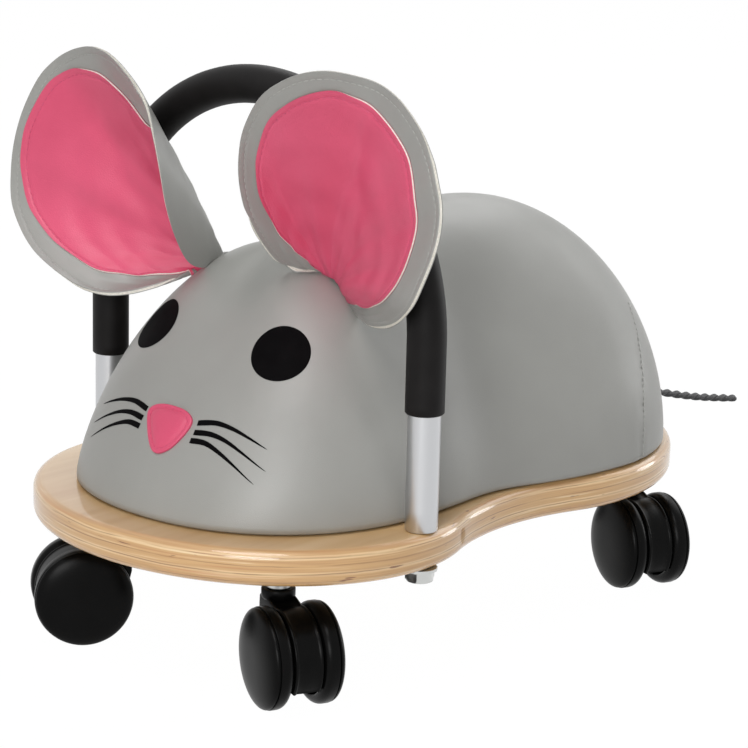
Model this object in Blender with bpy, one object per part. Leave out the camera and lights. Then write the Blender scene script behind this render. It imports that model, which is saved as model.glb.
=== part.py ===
"""Ride on mouse: a padded two-lobed body on a plywood board with four twin-wheel casters and a hoop handle.

Metres, +Z up. The floor is z = 0, the board's centre stands over the origin, the face looks along -Y
and the tail along +Y. "Left" and "right" are the mouse's own sides, so left is +X.
"""

import math

import bmesh
import bpy
from mathutils import Matrix, Vector

# Clearances
TOUCH = 0.0003
RUNNING = 0.0003
OVERRUN = 0.002

# Casters
WHEEL_RADIUS = 0.025
WHEEL_WIDTH = 0.0135
WHEEL_SIDE_PLAY = 0.0005
WHEEL_HUB_RADIUS = 0.007
WHEEL_WALL = 0.0034
WHEEL_RIM_WALL = 0.0042
WHEEL_EDGE_RADIUS = 0.0042
WHEEL_TREAD_WIDTH = 0.0040
WHEEL_GROOVE = 0.0007
AXLE_RADIUS = 0.003
WEB_WIDTH = 0.0145
WEB_RADIUS = 0.0235
WEB_BOTTOM = 0.012
WEB_EDGE = 0.0008
TRAIL = 0.018
SOCKET_TOP = 0.0508
SOCKET_DEPTH = 0.024
STEM_RADIUS = 0.004
STEM_FLANGE_RADIUS = 0.0062
STEM_FLANGE_HEIGHT = 0.0040
STEM_SHOULDER_RADIUS = 0.0050
STEM_THREAD_LENGTH = 0.013
INSERT_RADIUS = 0.006
INSERT_LIP_RADIUS = 0.0085
INSERT_LIP = 0.0012
FRONT_STEM_ASIDE = 0.0570
FRONT_STEM_AHEAD_OF_HOOP = 0.0435
REAR_STEM_ASIDE = 0.0655
REAR_STEM_BEHIND_LOBE = 0.0665

# Board
BOARD_BOTTOM = 0.0667
BOARD_THICKNESS = 0.018
BOARD_EDGE_RADIUS = 0.005
BOARD_RIM = 0.0155
BOARD_FRONT_HALF_WIDTH = 0.118
BOARD_FRONT_DEPTH = 0.101
BOARD_REAR_RADIUS = 0.115
LOBE_SPACING = 0.163
WAIST_RADIUS = 0.135

# Padded body, measured from the board's top
HEAD_BEHIND_LOBE = 0.019
HEAD_HALF_WIDTH = 0.0995
HEAD_FRONT_DEPTH = 0.0993
HEAD_BACK_DEPTH = 0.140
HEAD_HEIGHT = 0.1234
HEAD_PLAN_POWER = 2.15
HEAD_RISE_POWER = 1.66
HEAD_FACE_POWER = 1.23
SEAT_BEFORE_LOBE = -0.002
SEAT_HALF_WIDTH = 0.1135
SEAT_FRONT_DEPTH = 0.150
SEAT_BACK_DEPTH = 0.107
SEAT_HEIGHT = 0.1275
SEAT_PLAN_POWER = 1.9
SEAT_RISE_POWER = 1.97
BLEND = 8.0
COVER_THICKNESS = 0.0014
COVER_HEM = 0.014
CUSHION_BOARD_THICKNESS = 0.006
SPLIT_BEHIND_HEAD = 0.066

# Nose
NOSE_WIDTH = 0.0262
NOSE_HEIGHT = 0.0215
NOSE_LOBE_SHARE = 0.13
NOSE_CENTRE_RISE = 0.0408
NOSE_AHEAD_OF_HEAD = 0.078
NOSE_EDGE_THICKNESS = 0.0008
NOSE_CROWN = 0.0016

# Ears: places from the hoop's plane and the board's top, then the leather
EAR_CENTRE_ASIDE = 0.0855
EAR_CENTRE_RISE = 0.1545
EAR_HALF_WIDTH = 0.0585
EAR_HALF_HEIGHT = 0.0620
EAR_REACH = 0.045
EAR_SEAM_INNER = (0.0340, 0.0120)
EAR_SEAM_OUTER = (0.0465, 0.0145)
EAR_LEAN_INNER = 0.98
EAR_LEAN_OUTER = 0.70
EAR_THICKNESS = 0.0022
EAR_LINING_THICKNESS = 0.001
EAR_BORDER = 0.0100
EAR_PINCH = 0.028
EAR_FOOT_RISE = 0.0018
EAR_LINING_LEAST = 0.0090
EAR_LINING_MOST_SHARE = 0.94
EAR_CLEARANCE = 0.0032
EAR_CLEARANCE_SLOPE_SHARE = 0.25
EAR_LINING_ENDS_SHARE = (0.10, 0.90)

# The ear's free edge from the seam's inner end, over the top, to its outer end:
# shares of the half width outwards, of the reach forwards, and of the half height upwards
EAR_RIM_SHARES = (
    (-0.93, -0.02, -0.67),
    (-0.97, 0.22, -0.63),
    (-0.99, 0.44, -0.52),
    (-1.02, 0.71, -0.33),
    (-1.02, 0.87, -0.12),
    (-1.00, 0.97, 0.14),
    (-0.95, 1.00, 0.40),
    (-0.86, 1.01, 0.61),
    (-0.73, 1.01, 0.77),
    (-0.52, 0.98, 0.89),
    (-0.30, 0.89, 0.97),
    (-0.06, 0.78, 0.99),
    (0.20, 0.66, 0.96),
    (0.44, 0.61, 0.87),
    (0.62, 0.62, 0.74),
    (0.79, 0.64, 0.58),
    (0.91, 0.70, 0.37),
    (0.98, 0.74, 0.13),
    (1.00, 0.77, -0.08),
    (0.95, 0.80, -0.31),
    (0.81, 0.82, -0.54),
    (0.62, 0.80, -0.71),
    (0.38, 0.69, -0.84),
    (0.15, 0.56, -0.94),
    (-0.13, 0.40, -0.97),
    (-0.37, 0.22, -0.93),
    (-0.52, 0.05, -0.88),
    (-0.60, -0.14, -0.84),
)

# Hoop handle
HOOP_BEHIND_LOBE = 0.005
HOOP_HALF_WIDTH = 0.109
HOOP_TOP = 0.286
TUBE_RADIUS = 0.008
TUBE_WALL = 0.0015
GRIP_THICKNESS = 0.0012
GRIP_END_LEFT = 0.1425
GRIP_END_RIGHT = 0.1325
PLUG_LENGTH = 0.026
BOLT_RADIUS = 0.004
BOLT_LENGTH = 0.036
BOLT_HEAD_RADIUS = 0.0075
BOLT_HEAD_HEIGHT = 0.0053
WASHER_RADIUS = 0.0085
WASHER_THICKNESS = 0.0015

# Screws that hold the cushion from below
SCREW_RADIUS = 0.002
SCREW_HEAD_RADIUS = 0.0042
SCREW_HEAD_HEIGHT = 0.0026
SCREW_REACH_SHARE = 0.6
SCREW_INSET_SHARE = 0.42

# Tail cord: its route's points, then its diameter
TAIL_DIAMETER = 0.0048
TAIL_ROUTE = (
    (0, 0.1840, 0.0895),
    (0, 0.2000, 0.0870),
    (0, 0.2250, 0.0808),
    (0, 0.2605, 0.0705),
    (0, 0.3010, 0.0602),
    (0, 0.3425, 0.0518),
)

# Counts
WHEEL_STEPS = 20
ROUND_STEPS = 16
SMALL_STEPS = 10
OUTLINE_STEPS = 16
BODY_FAN_STEPS = 18
BODY_SIDE_STEPS = 7
BODY_RISE_STEPS = 9
EAR_AROUND = 24
EAR_ALONG = 5
HOOP_STEPS = 18
HOOP_SIDES = 12

# Places that follow from the sizes
BOARD_TOP = BOARD_BOTTOM + BOARD_THICKNESS
BOARD_LENGTH = BOARD_FRONT_DEPTH + LOBE_SPACING + BOARD_REAR_RADIUS
FRONT_LOBE_Y = BOARD_FRONT_DEPTH - BOARD_LENGTH / 2
REAR_LOBE_Y = FRONT_LOBE_Y + LOBE_SPACING
HEAD_Y = FRONT_LOBE_Y + HEAD_BEHIND_LOBE
SEAT_Y = REAR_LOBE_Y - SEAT_BEFORE_LOBE
HOOP_Y = FRONT_LOBE_Y + HOOP_BEHIND_LOBE
SPLIT_Y = HEAD_Y + SPLIT_BEHIND_HEAD
WHEEL_INNER = WEB_WIDTH / 2 + WHEEL_SIDE_PLAY
CUSHION_BOARD_BOTTOM = TOUCH + COVER_THICKNESS + TOUCH
PADDING_BOTTOM = CUSHION_BOARD_BOTTOM + CUSHION_BOARD_THICKNESS + TOUCH


for leftover in list(bpy.data.objects):
    bpy.data.objects.remove(leftover)


# Materials

def material(name, colour, roughness, metallic=0.0):
    """A Principled material in sRGB hex."""
    linear = []
    for start in (0, 2, 4):
        value = int(colour[start:start + 2], 16) / 255
        linear.append(((value + 0.055) / 1.055) ** 2.4 if value > 0.04045 else value / 12.92)
    made = bpy.data.materials.new(name)
    made.use_nodes = True
    shader = made.node_tree.nodes["Principled BSDF"]
    shader.inputs["Base Color"].default_value = (*linear, 1)
    shader.inputs["Roughness"].default_value = roughness
    shader.inputs["Metallic"].default_value = metallic
    made.diffuse_color = (*linear, 1)
    return made


# Meshes

def add_object(name, mesh, finish, parent=None, location=(0, 0, 0), turn=0.0):
    mesh.materials.clear()
    mesh.materials.append(finish)
    mesh.shade_smooth()
    mesh.set_sharp_from_angle(angle=math.radians(35))
    made = bpy.data.objects.new(name, mesh)
    bpy.context.scene.collection.objects.link(made)
    made.parent = parent
    made.location = location
    made.rotation_euler = (0, 0, turn)
    return made


def add_empty(name, location, turn=0.0, parent=None):
    made = bpy.data.objects.new(name, None)
    bpy.context.scene.collection.objects.link(made)
    made.parent = parent
    made.location = location
    made.rotation_euler = (0, 0, turn)
    return made


def finished(build, name):
    """The bmesh as a mesh, with its doubles merged and its faces pointing out."""
    bmesh.ops.remove_doubles(build, verts=build.verts, dist=TOUCH / 1000)
    bmesh.ops.recalc_face_normals(build, faces=build.faces)
    mesh = bpy.data.meshes.new(name)
    build.to_mesh(mesh)
    build.free()
    return mesh


def turned(name, profile, steps, axis="Z"):
    """A closed profile of (radius, height) points, spun once round its axis."""
    build = bmesh.new()
    points = [build.verts.new((radius, 0, height)) for radius, height in profile]
    edges = [build.edges.new((a, b)) for a, b in zip(points, points[1:] + points[:1])]
    bmesh.ops.spin(build, geom=points + edges, cent=(0, 0, 0), axis=(0, 0, 1), angle=math.tau,
                   steps=steps, use_merge=True, use_duplicate=False)
    if axis == "Y":
        bmesh.ops.rotate(build, verts=build.verts, cent=(0, 0, 0), matrix=Matrix.Rotation(-math.pi / 2, 3, "X"))
    return finished(build, name)


def extruded(name, outline, low, high, axis="Z"):
    """A flat outline given a thickness along Z, or along Y."""
    build = bmesh.new()
    if axis == "Z":
        corners = [build.verts.new((x, y, low)) for x, y in outline]
        step = Vector((0, 0, high - low))
    else:
        corners = [build.verts.new((x, low, z)) for x, z in outline]
        step = Vector((0, high - low, 0))
    face = build.faces.new(corners)
    top = bmesh.ops.extrude_face_region(build, geom=[face])["geom"]
    bmesh.ops.translate(build, verts=[v for v in top if isinstance(v, bmesh.types.BMVert)], vec=step)
    return finished(build, name)


def skinned(name, layers):
    """Rings of points joined one to the next and round again to the first, as a wall with two sides."""
    build = bmesh.new()
    rings = [[build.verts.new(point) for point in layer] for layer in layers]
    count = len(rings[0])
    for ring, following in zip(rings, rings[1:] + rings[:1]):
        for i in range(count):
            j = (i + 1) % count
            build.faces.new((ring[i], ring[j], following[j], following[i]))
    return finished(build, name)


def slab(name, front, back):
    """Two like grids of points, one on each side of a sheet, closed round their border."""
    build = bmesh.new()
    sides = [[[build.verts.new(point) for point in row] for row in grid] for grid in (front, back)]
    rows, columns = len(front), len(front[0])
    for side in sides:
        for i in range(rows - 1):
            for j in range(columns - 1):
                build.faces.new((side[i][j], side[i][j + 1], side[i + 1][j + 1]))
                build.faces.new((side[i][j], side[i + 1][j + 1], side[i + 1][j]))
    border = [(0, j) for j in range(columns)] + [(i, columns - 1) for i in range(1, rows)]
    border += [(rows - 1, j) for j in range(columns - 2, -1, -1)] + [(i, 0) for i in range(rows - 2, 0, -1)]
    for (i, j), (k, m) in zip(border, border[1:] + border[:1]):
        build.faces.new((sides[0][i][j], sides[0][k][m], sides[1][k][m], sides[1][i][j]))
    return finished(build, name)


def helper(name, mesh, location=(0, 0, 0)):
    """A cutter: kept out of renders and drawn as wire."""
    made = bpy.data.objects.new(name, mesh)
    bpy.context.scene.collection.objects.link(made)
    made.location = location
    made.hide_render = True
    made.display_type = "WIRE"
    return made


def combine(target, other, operation):
    step = target.modifiers.new(f"{operation.lower()} {other.name}", "BOOLEAN")
    step.operation = operation
    step.solver = "EXACT"
    step.object = other


def bevel(target, width, segments, angle=40):
    step = target.modifiers.new("rounded edges", "BEVEL")
    step.width = width
    step.segments = segments
    step.limit_method = "ANGLE"
    step.angle_limit = math.radians(angle)


def baked(target, helpers=()):
    """The object's evaluated mesh, with the object and its helpers removed."""
    graph = bpy.context.evaluated_depsgraph_get()
    mesh = bpy.data.meshes.new_from_object(target.evaluated_get(graph))
    for done in (target, *helpers):
        bpy.data.objects.remove(done)
    return mesh


def rod(name, radius, low, high, steps=SMALL_STEPS, axis="Z"):
    return turned(name, [(0, low), (radius, low), (radius, high), (0, high)], steps, axis)


def arc(centre, radius, start, end, steps):
    """Points along an arc; radius may be a pair for an ellipse."""
    wide, deep = radius if isinstance(radius, tuple) else (radius, radius)
    for i in range(steps + 1):
        angle = start + (end - start) * i / steps
        yield centre[0] + wide * math.cos(angle), centre[1] + deep * math.sin(angle)


# Board: an ellipse in front and a circle behind, joined by a waist arc that touches both

def waist_arc():
    """Where the waist's arc leaves the front ellipse, its centre, and where it meets the rear circle."""

    def centre_for(angle):
        point = Vector((BOARD_FRONT_HALF_WIDTH * math.cos(angle), FRONT_LOBE_Y + BOARD_FRONT_DEPTH * math.sin(angle)))
        outward = Vector((math.cos(angle) / BOARD_FRONT_HALF_WIDTH, math.sin(angle) / BOARD_FRONT_DEPTH)).normalized()
        return point, point + outward * WAIST_RADIUS

    rear = Vector((0, REAR_LOBE_Y))
    low, high = 0.0, math.pi / 2
    for _ in range(50):
        middle = (low + high) / 2
        _, centre = centre_for(middle)
        if (centre - rear).length > BOARD_REAR_RADIUS + WAIST_RADIUS:
            low = middle
        else:
            high = middle
    point, centre = centre_for(low)
    meets = rear + (centre - rear).normalized() * BOARD_REAR_RADIUS
    return low, point, centre, meets


def board_outline():
    leave_angle, leaves, centre, meets = waist_arc()
    right_side = list(arc((0, FRONT_LOBE_Y), (BOARD_FRONT_HALF_WIDTH, BOARD_FRONT_DEPTH),
                          -math.pi / 2, leave_angle, OUTLINE_STEPS))
    start = math.atan2(leaves.y - centre.y, leaves.x - centre.x) % math.tau
    end = math.atan2(meets.y - centre.y, meets.x - centre.x) % math.tau
    right_side += list(arc(centre, WAIST_RADIUS, start, end, OUTLINE_STEPS // 2))[1:]
    rear_start = math.atan2(meets.y - REAR_LOBE_Y, meets.x)
    right_side += list(arc((0, REAR_LOBE_Y), BOARD_REAR_RADIUS, rear_start, math.pi / 2, OUTLINE_STEPS))[1:]
    return right_side + [(-x, y) for x, y in reversed(right_side[1:-1])]


# Padded body: two egg shapes that run into each other

def egg(x, y, z, centre_y, half_width, front, back, height, plan_power, rise_power, face_power):
    """1 on the egg's surface, less inside it; towards its front the side view takes the face's power."""
    across = abs(x) / half_width
    along = abs(y - centre_y) / (front if y < centre_y else back)
    plan = (across ** plan_power + along ** plan_power) ** (1 / plan_power)
    frontness = along ** 2 / (across ** 2 + along ** 2) if y < centre_y else 0
    power = rise_power + (face_power - rise_power) * frontness
    return plan ** power + (abs(z) / height) ** power


def body_level(x, y, z):
    """1 on the body's surface; z is measured from the board's top."""
    head = egg(x, y, z, HEAD_Y, HEAD_HALF_WIDTH, HEAD_FRONT_DEPTH, HEAD_BACK_DEPTH, HEAD_HEIGHT,
               HEAD_PLAN_POWER, HEAD_RISE_POWER, HEAD_FACE_POWER)
    seat = egg(x, y, z, SEAT_Y, SEAT_HALF_WIDTH, SEAT_FRONT_DEPTH, SEAT_BACK_DEPTH, SEAT_HEIGHT,
               SEAT_PLAN_POWER, SEAT_RISE_POWER, SEAT_RISE_POWER)
    return -math.log(math.exp(-BLEND * head) + math.exp(-BLEND * seat)) / BLEND


def reach(start, direction):
    """How far from a point inside the body its surface lies along a direction."""
    low, high = 0.0, HEAD_HALF_WIDTH + SEAT_HALF_WIDTH
    for _ in range(34):
        middle = (low + high) / 2
        if body_level(*(start + direction * middle)) < 1:
            low = middle
        else:
            high = middle
    return low


def body_stations():
    """(spine y, plan angle) of each column round the body, clockwise from the nose seen from above."""
    front = [(HEAD_Y, -math.pi / 2 + math.pi / 2 * i / BODY_FAN_STEPS * 2) for i in range(BODY_FAN_STEPS // 2 + 1)]
    side = [(HEAD_Y + (SEAT_Y - HEAD_Y) * i / BODY_SIDE_STEPS, 0.0) for i in range(1, BODY_SIDE_STEPS)]
    back = [(SEAT_Y, math.pi / 2 * i / BODY_FAN_STEPS * 2) for i in range(BODY_FAN_STEPS // 2 + 1)]
    one_side = front + side + back
    return one_side + [(y, math.pi - angle) for y, angle in reversed(one_side[1:-1])]


def body_ring(bottom, rise, inset):
    """One ring round the body: rise 0 is level with its bottom, and rise 1 is along its spine."""
    points = []
    elevation = rise * math.pi / 2
    for spine_y, angle in body_stations():
        flat = Vector((math.cos(angle), math.sin(angle), 0))
        direction = flat * math.cos(elevation) + Vector((0, 0, math.sin(elevation)))
        start = Vector((0, spine_y, bottom))
        point = start + direction * (reach(start, direction) - inset)
        points.append((point.x, point.y, point.z + BOARD_TOP))
    return points


def body_rings(bottom, inset):
    return [body_ring(bottom, i / BODY_RISE_STEPS, inset) for i in range(BODY_RISE_STEPS + 1)]


def close_spine(build, ring):
    """Joins the two sides of a ring that runs along the spine."""
    count = len(ring)
    for i in range(1, count // 2):
        j = count - i
        if (ring[i].co - ring[j].co).length > TOUCH:
            build.faces.new((ring[i - 1], ring[i], ring[j], ring[(j + 1) % count]))


def domed(name, bottom, inset):
    """The body's form as one closed solid with a flat bottom."""
    build = bmesh.new()
    rings = [[build.verts.new(point) for point in ring] for ring in body_rings(bottom, inset)]
    count = len(rings[0])
    for ring, above in zip(rings, rings[1:]):
        for i in range(count):
            j = (i + 1) % count
            build.faces.new((ring[i], ring[j], above[j], above[i]))
    build.faces.new(list(reversed(rings[0])))
    return finished(build, name)


def surface_z(x, y):
    """Height of the cover's outer face over a point of the plan."""
    start = Vector((x, y, 0))
    return BOARD_TOP + reach(start, Vector((0, 0, 1)))


def cover_mesh():
    """Outer face, hem turned under the cushion board, and inner face."""
    build = bmesh.new()
    hem = [body_ring(0, 0, COVER_HEM), body_ring(0, 0, 0)]
    hem = [[(x, y, BOARD_TOP + TOUCH) for x, y, _ in ring] for ring in hem]
    outer = hem + body_rings(0, 0)[1:]
    under = [[(x, y, z + COVER_THICKNESS) for x, y, z in hem[0]]]
    low_inner = [(x, y, BOARD_TOP + TOUCH + COVER_THICKNESS) for x, y, _ in body_ring(0, 0, COVER_THICKNESS)]
    inner = under + [low_inner] + body_rings(0, COVER_THICKNESS)[1:]
    edges = []
    for rings in (outer, inner):
        made = [[build.verts.new(point) for point in ring] for ring in rings]
        edges.append(made[0])
        count = len(made[0])
        for ring, above in zip(made, made[1:]):
            for i in range(count):
                j = (i + 1) % count
                build.faces.new((ring[i], ring[j], above[j], above[i]))
    count = len(edges[0])
    for i in range(count):
        j = (i + 1) % count
        build.faces.new((edges[0][i], edges[0][j], edges[1][j], edges[1][i]))
    return finished(build, "body_cover")


def half(mesh, keep_front):
    """The solid cut across at the split plane, with the cut closed."""
    build = bmesh.new()
    build.from_mesh(mesh)
    side = -1 if keep_front else 1
    plane = Vector((0, SPLIT_Y + side * TOUCH / 2, 0))
    everything = build.verts[:] + build.edges[:] + build.faces[:]
    cut = bmesh.ops.bisect_plane(build, geom=everything, plane_co=plane, plane_no=(0, -side, 0), clear_outer=True)
    edges = [item for item in cut["geom_cut"] if isinstance(item, bmesh.types.BMEdge)]
    bmesh.ops.contextual_create(build, geom=edges)
    return finished(build, "padding")


# Nose: a rounded triangle laid on the head

def nose_mesh():
    centre = Vector((0, HEAD_Y - NOSE_AHEAD_OF_HEAD, NOSE_CENTRE_RISE))
    start = Vector((0, HEAD_Y, 0))
    layers = []
    for crowned in (False, True):
        for share in (TOUCH / NOSE_WIDTH, 0.5, 0.85, 1.0):
            lift = TOUCH + crowned * (NOSE_EDGE_THICKNESS + NOSE_CROWN * (1 - share ** 2))
            ring = []
            for i in range(ROUND_STEPS):
                angle = math.tau * i / ROUND_STEPS
                lobes = 1 + NOSE_LOBE_SHARE * math.cos(3 * (angle + math.pi / 2))
                across = share * lobes * NOSE_WIDTH / 2 * math.cos(angle)
                up = share * lobes * NOSE_HEIGHT / 2 * math.sin(angle)
                direction = (centre + Vector((across, 0, up)) - start).normalized()
                point = start + direction * (reach(start, direction) + lift)
                ring.append((point.x, point.y, point.z + BOARD_TOP))
            layers.append(ring)
    return layers


def lens(name, layers):
    """A patch from rings on its inner face and the same rings on its outer face."""
    build = bmesh.new()
    made = [[build.verts.new(point) for point in ring] for ring in layers]
    depth = len(made) // 2
    order = made[:depth] + list(reversed(made[depth:]))
    count = len(order[0])
    for ring, following in zip(order, order[1:]):
        for i in range(count):
            j = (i + 1) % count
            build.faces.new((ring[i], ring[j], following[j], following[i]))
    build.faces.new(list(reversed(order[0])))
    build.faces.new(order[-1])
    return finished(build, name)


# Ears: a round leaf, drawn back to a short curved seam on the head

def spline_point(points, place):
    """A point on a smooth curve through points; place runs from 0 to 1."""
    spans = len(points) - 1
    index = min(int(place * spans), spans - 1)
    local = place * spans - index
    a = points[max(index - 1, 0)]
    b = points[index]
    c = points[index + 1]
    d = points[min(index + 2, spans)]
    return 0.5 * (2 * b + (c - a) * local + (2 * a - 5 * b + 4 * c - d) * local ** 2
                  + (3 * b - a - 3 * c + d) * local ** 3)


def seam_point(around):
    """A point of the short seam on the head, level with the cover."""
    inner = Vector((EAR_SEAM_INNER[0], HOOP_Y + EAR_SEAM_INNER[1], 0))
    outer = Vector((EAR_SEAM_OUTER[0], HOOP_Y + EAR_SEAM_OUTER[1], 0))
    point = inner.lerp(outer, around)
    point.z = surface_z(point.x, point.y)
    return point


def free_edge():
    """The free edge's points, from the seam's inner end over the ear's top to its outer end."""
    lift = Vector((0, 0, 2 * EAR_THICKNESS))
    edge = [seam_point(0) + lift]
    for aside, ahead, rise in EAR_RIM_SHARES:
        edge.append(Vector((
            EAR_CENTRE_ASIDE + aside * EAR_HALF_WIDTH,
            HOOP_Y - ahead * EAR_REACH,
            BOARD_TOP + EAR_CENTRE_RISE + rise * EAR_HALF_HEIGHT,
        )))
    return edge + [seam_point(1) + lift]


FREE_EDGE = free_edge()


def ear_point(around, along):
    """A point of the ear's middle surface: along the free edge, and from the seam out to it."""
    base = seam_point(around) + Vector((0, 0, EAR_FOOT_RISE))
    rim = spline_point(FREE_EDGE, around)
    point = base.lerp(rim, along)
    outward = min(max(around - EAR_LINING_ENDS_SHARE[0], 0) * 2.5, 1)
    lean = EAR_LEAN_INNER + (EAR_LEAN_OUTER - EAR_LEAN_INNER) * outward
    point.y = base.y + (rim.y - base.y) * along ** lean
    room = min(EAR_CLEARANCE, EAR_CLEARANCE_SLOPE_SHARE * math.hypot(point.x - base.x, point.y - base.y))
    point.z = max(point.z, surface_z(point.x, point.y) + EAR_FOOT_RISE + room)
    return point


def ear_normal(around, along):
    small = 0.01
    across = ear_point(min(around + small, 1), along) - ear_point(max(around - small, 0), along)
    up = ear_point(around, min(along + small, 1)) - ear_point(around, max(along - small, 0))
    return up.cross(across).normalized()


def lining_reach(around):
    """The share of a ray that the lining covers: up to a border's width from the free edge."""
    edge = [spline_point(FREE_EDGE, i / (4 * EAR_AROUND)) for i in range(4 * EAR_AROUND + 1)]
    steps = 8 * EAR_ALONG
    foot = ear_point(around, 0)
    for i in range(steps, 0, -1):
        point = ear_point(around, i / steps)
        pinched = min((point - foot).length / EAR_PINCH, 1) if around < sum(EAR_LINING_ENDS_SHARE) / 2 else 1
        if min((point - other).length for other in edge) > EAR_BORDER * pinched:
            return i / steps
    return 0


def ear_layer(offset, lining):
    """A grid over the ear at an offset from its middle; the lining's grid is the inner part of the shell's."""
    first, last = EAR_LINING_ENDS_SHARE
    inner = [first + (last - first) * i / EAR_AROUND for i in range(EAR_AROUND + 1)]
    grid = []
    for around in inner if lining else [0, first / 2, *inner, (1 + last) / 2, 1]:
        length = (spline_point(FREE_EDGE, around) - seam_point(around)).length
        limit = min(max(lining_reach(around), EAR_LINING_LEAST / length), EAR_LINING_MOST_SHARE)
        start = limit / 6
        shares = [start + (limit - start) * j / EAR_ALONG for j in range(EAR_ALONG + 1)]
        row = []
        for along in shares if lining else [0, *shares, 1]:
            row.append(ear_point(around, along) + ear_normal(around, along) * offset)
        grid.append(row)
    return grid


# Hoop handle: tubes swept along two posts and a half circle

def hoop_path(left_end, right_end):
    spring = HOOP_TOP - HOOP_HALF_WIDTH
    path = [Vector((HOOP_HALF_WIDTH, HOOP_Y, left_end))]
    for x, z in arc((0, spring), HOOP_HALF_WIDTH, 0, math.pi, HOOP_STEPS):
        path.append(Vector((x, HOOP_Y, z)))
    path.append(Vector((-HOOP_HALF_WIDTH, HOOP_Y, right_end)))
    return path


def hoop_tube(name, outer, inner, left_end, right_end):
    """The bore and the outside as rings square to the hoop's own plane."""
    path = hoop_path(left_end, right_end)
    layers = []
    for k, point in enumerate(path):
        ahead = path[min(k + 1, len(path) - 1)] - path[max(k - 1, 0)]
        if k in (0, len(path) - 1):
            ahead = Vector((0, 0, 1 if k == 0 else -1))
        side = ahead.normalized().cross(Vector((0, 1, 0)))
        layers.append((point, side))
    walls = []
    for radius in (outer, inner):
        rings = []
        for point, side in layers:
            ring = []
            for i in range(HOOP_SIDES):
                angle = math.tau * i / HOOP_SIDES
                ring.append(point + side * radius * math.cos(angle) + Vector((0, radius * math.sin(angle), 0)))
            rings.append(ring)
        walls.append(rings)
    return skinned(name, walls[0] + list(reversed(walls[1])))


# Casters

def wheel_mesh():
    """A twin wheel: blind bore and hollow on its inner side, tread, groove and domed face."""
    inner = WHEEL_INNER
    outer = inner + WHEEL_WIDTH
    bore = AXLE_RADIUS + RUNNING
    tread_end = inner + WHEEL_EDGE_RADIUS + WHEEL_TREAD_WIDTH
    dome_radius = WHEEL_RADIUS - WHEEL_GROOVE / 2
    dome_start = tread_end + WHEEL_GROOVE
    hollow_radius = WHEEL_RADIUS - WHEEL_RIM_WALL
    hollow_end = dome_start
    profile = [(0, outer - WHEEL_WALL), (bore, outer - WHEEL_WALL), (bore, inner), (WHEEL_HUB_RADIUS, inner)]
    profile += [(WHEEL_HUB_RADIUS, hollow_end), (hollow_radius, hollow_end), (hollow_radius, inner)]
    edge = (WHEEL_RADIUS - WHEEL_EDGE_RADIUS, inner + WHEEL_EDGE_RADIUS)
    profile += list(arc(edge, WHEEL_EDGE_RADIUS, -math.pi / 2, 0, 2))
    profile += [(WHEEL_RADIUS, tread_end), (WHEEL_RADIUS - WHEEL_GROOVE, tread_end + WHEEL_GROOVE / 2)]
    dome_steps = 4
    for i in range(dome_steps + 1):
        angle = math.pi / 2 * i / dome_steps
        profile.append((dome_radius * math.cos(angle) ** 0.8, dome_start + (outer - dome_start) * math.sin(angle)))
    profile[-1] = (0, outer)
    return turned("wheel", profile, WHEEL_STEPS, "Y")


def web_outline():
    """Side view of the housing between the wheels, round the axle at (TRAIL, WHEEL_RADIUS)."""
    centre = (TRAIL, WHEEL_RADIUS)
    chord = math.asin((WHEEL_RADIUS - WEB_BOTTOM) / WEB_RADIUS)
    half_web = WEB_WIDTH / 2
    outline = list(arc(centre, WEB_RADIUS, -chord, math.radians(105), 14))
    outline += [(half_web - TOUCH, SOCKET_TOP - WEB_EDGE), (-half_web / 2, SOCKET_TOP - WEB_EDGE)]
    outline += [(-half_web / 2, WHEEL_RADIUS)]
    steps = 3
    for i in range(1, steps + 1):
        angle = math.pi + chord * i / steps
        outline.append((TRAIL + WEB_RADIUS * math.cos(angle), WHEEL_RADIUS + WEB_RADIUS * math.sin(angle)))
    return outline


def housing_mesh():
    """Web and stem socket joined, with the socket's bore and the axle's hole cut out."""
    half_web = WEB_WIDTH / 2
    web = helper("web", extruded("web", web_outline(), -half_web, half_web, "Y"))
    bevel(web, WEB_EDGE, 1)
    shape = [(0, WHEEL_RADIUS - TRAIL / 2), (half_web - WEB_EDGE, WHEEL_RADIUS - TRAIL / 2)]
    shape += [(half_web - TOUCH, WHEEL_RADIUS), (half_web - TOUCH, SOCKET_TOP - WEB_EDGE)]
    shape += [(half_web - WEB_EDGE, SOCKET_TOP), (0, SOCKET_TOP)]
    socket = helper("socket", turned("socket", shape, ROUND_STEPS))
    bore = helper("socket bore", rod("bore", STEM_RADIUS + RUNNING, SOCKET_TOP - SOCKET_DEPTH, SOCKET_TOP + OVERRUN,
                                     ROUND_STEPS))
    hole = helper("axle hole", rod("hole", AXLE_RADIUS + TOUCH, -half_web - OVERRUN, half_web + OVERRUN,
                                   ROUND_STEPS, "Y"), (TRAIL, 0, WHEEL_RADIUS))
    combine(web, socket, "UNION")
    combine(web, bore, "DIFFERENCE")
    combine(web, hole, "DIFFERENCE")
    return baked(web, (socket, bore, hole))


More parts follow.
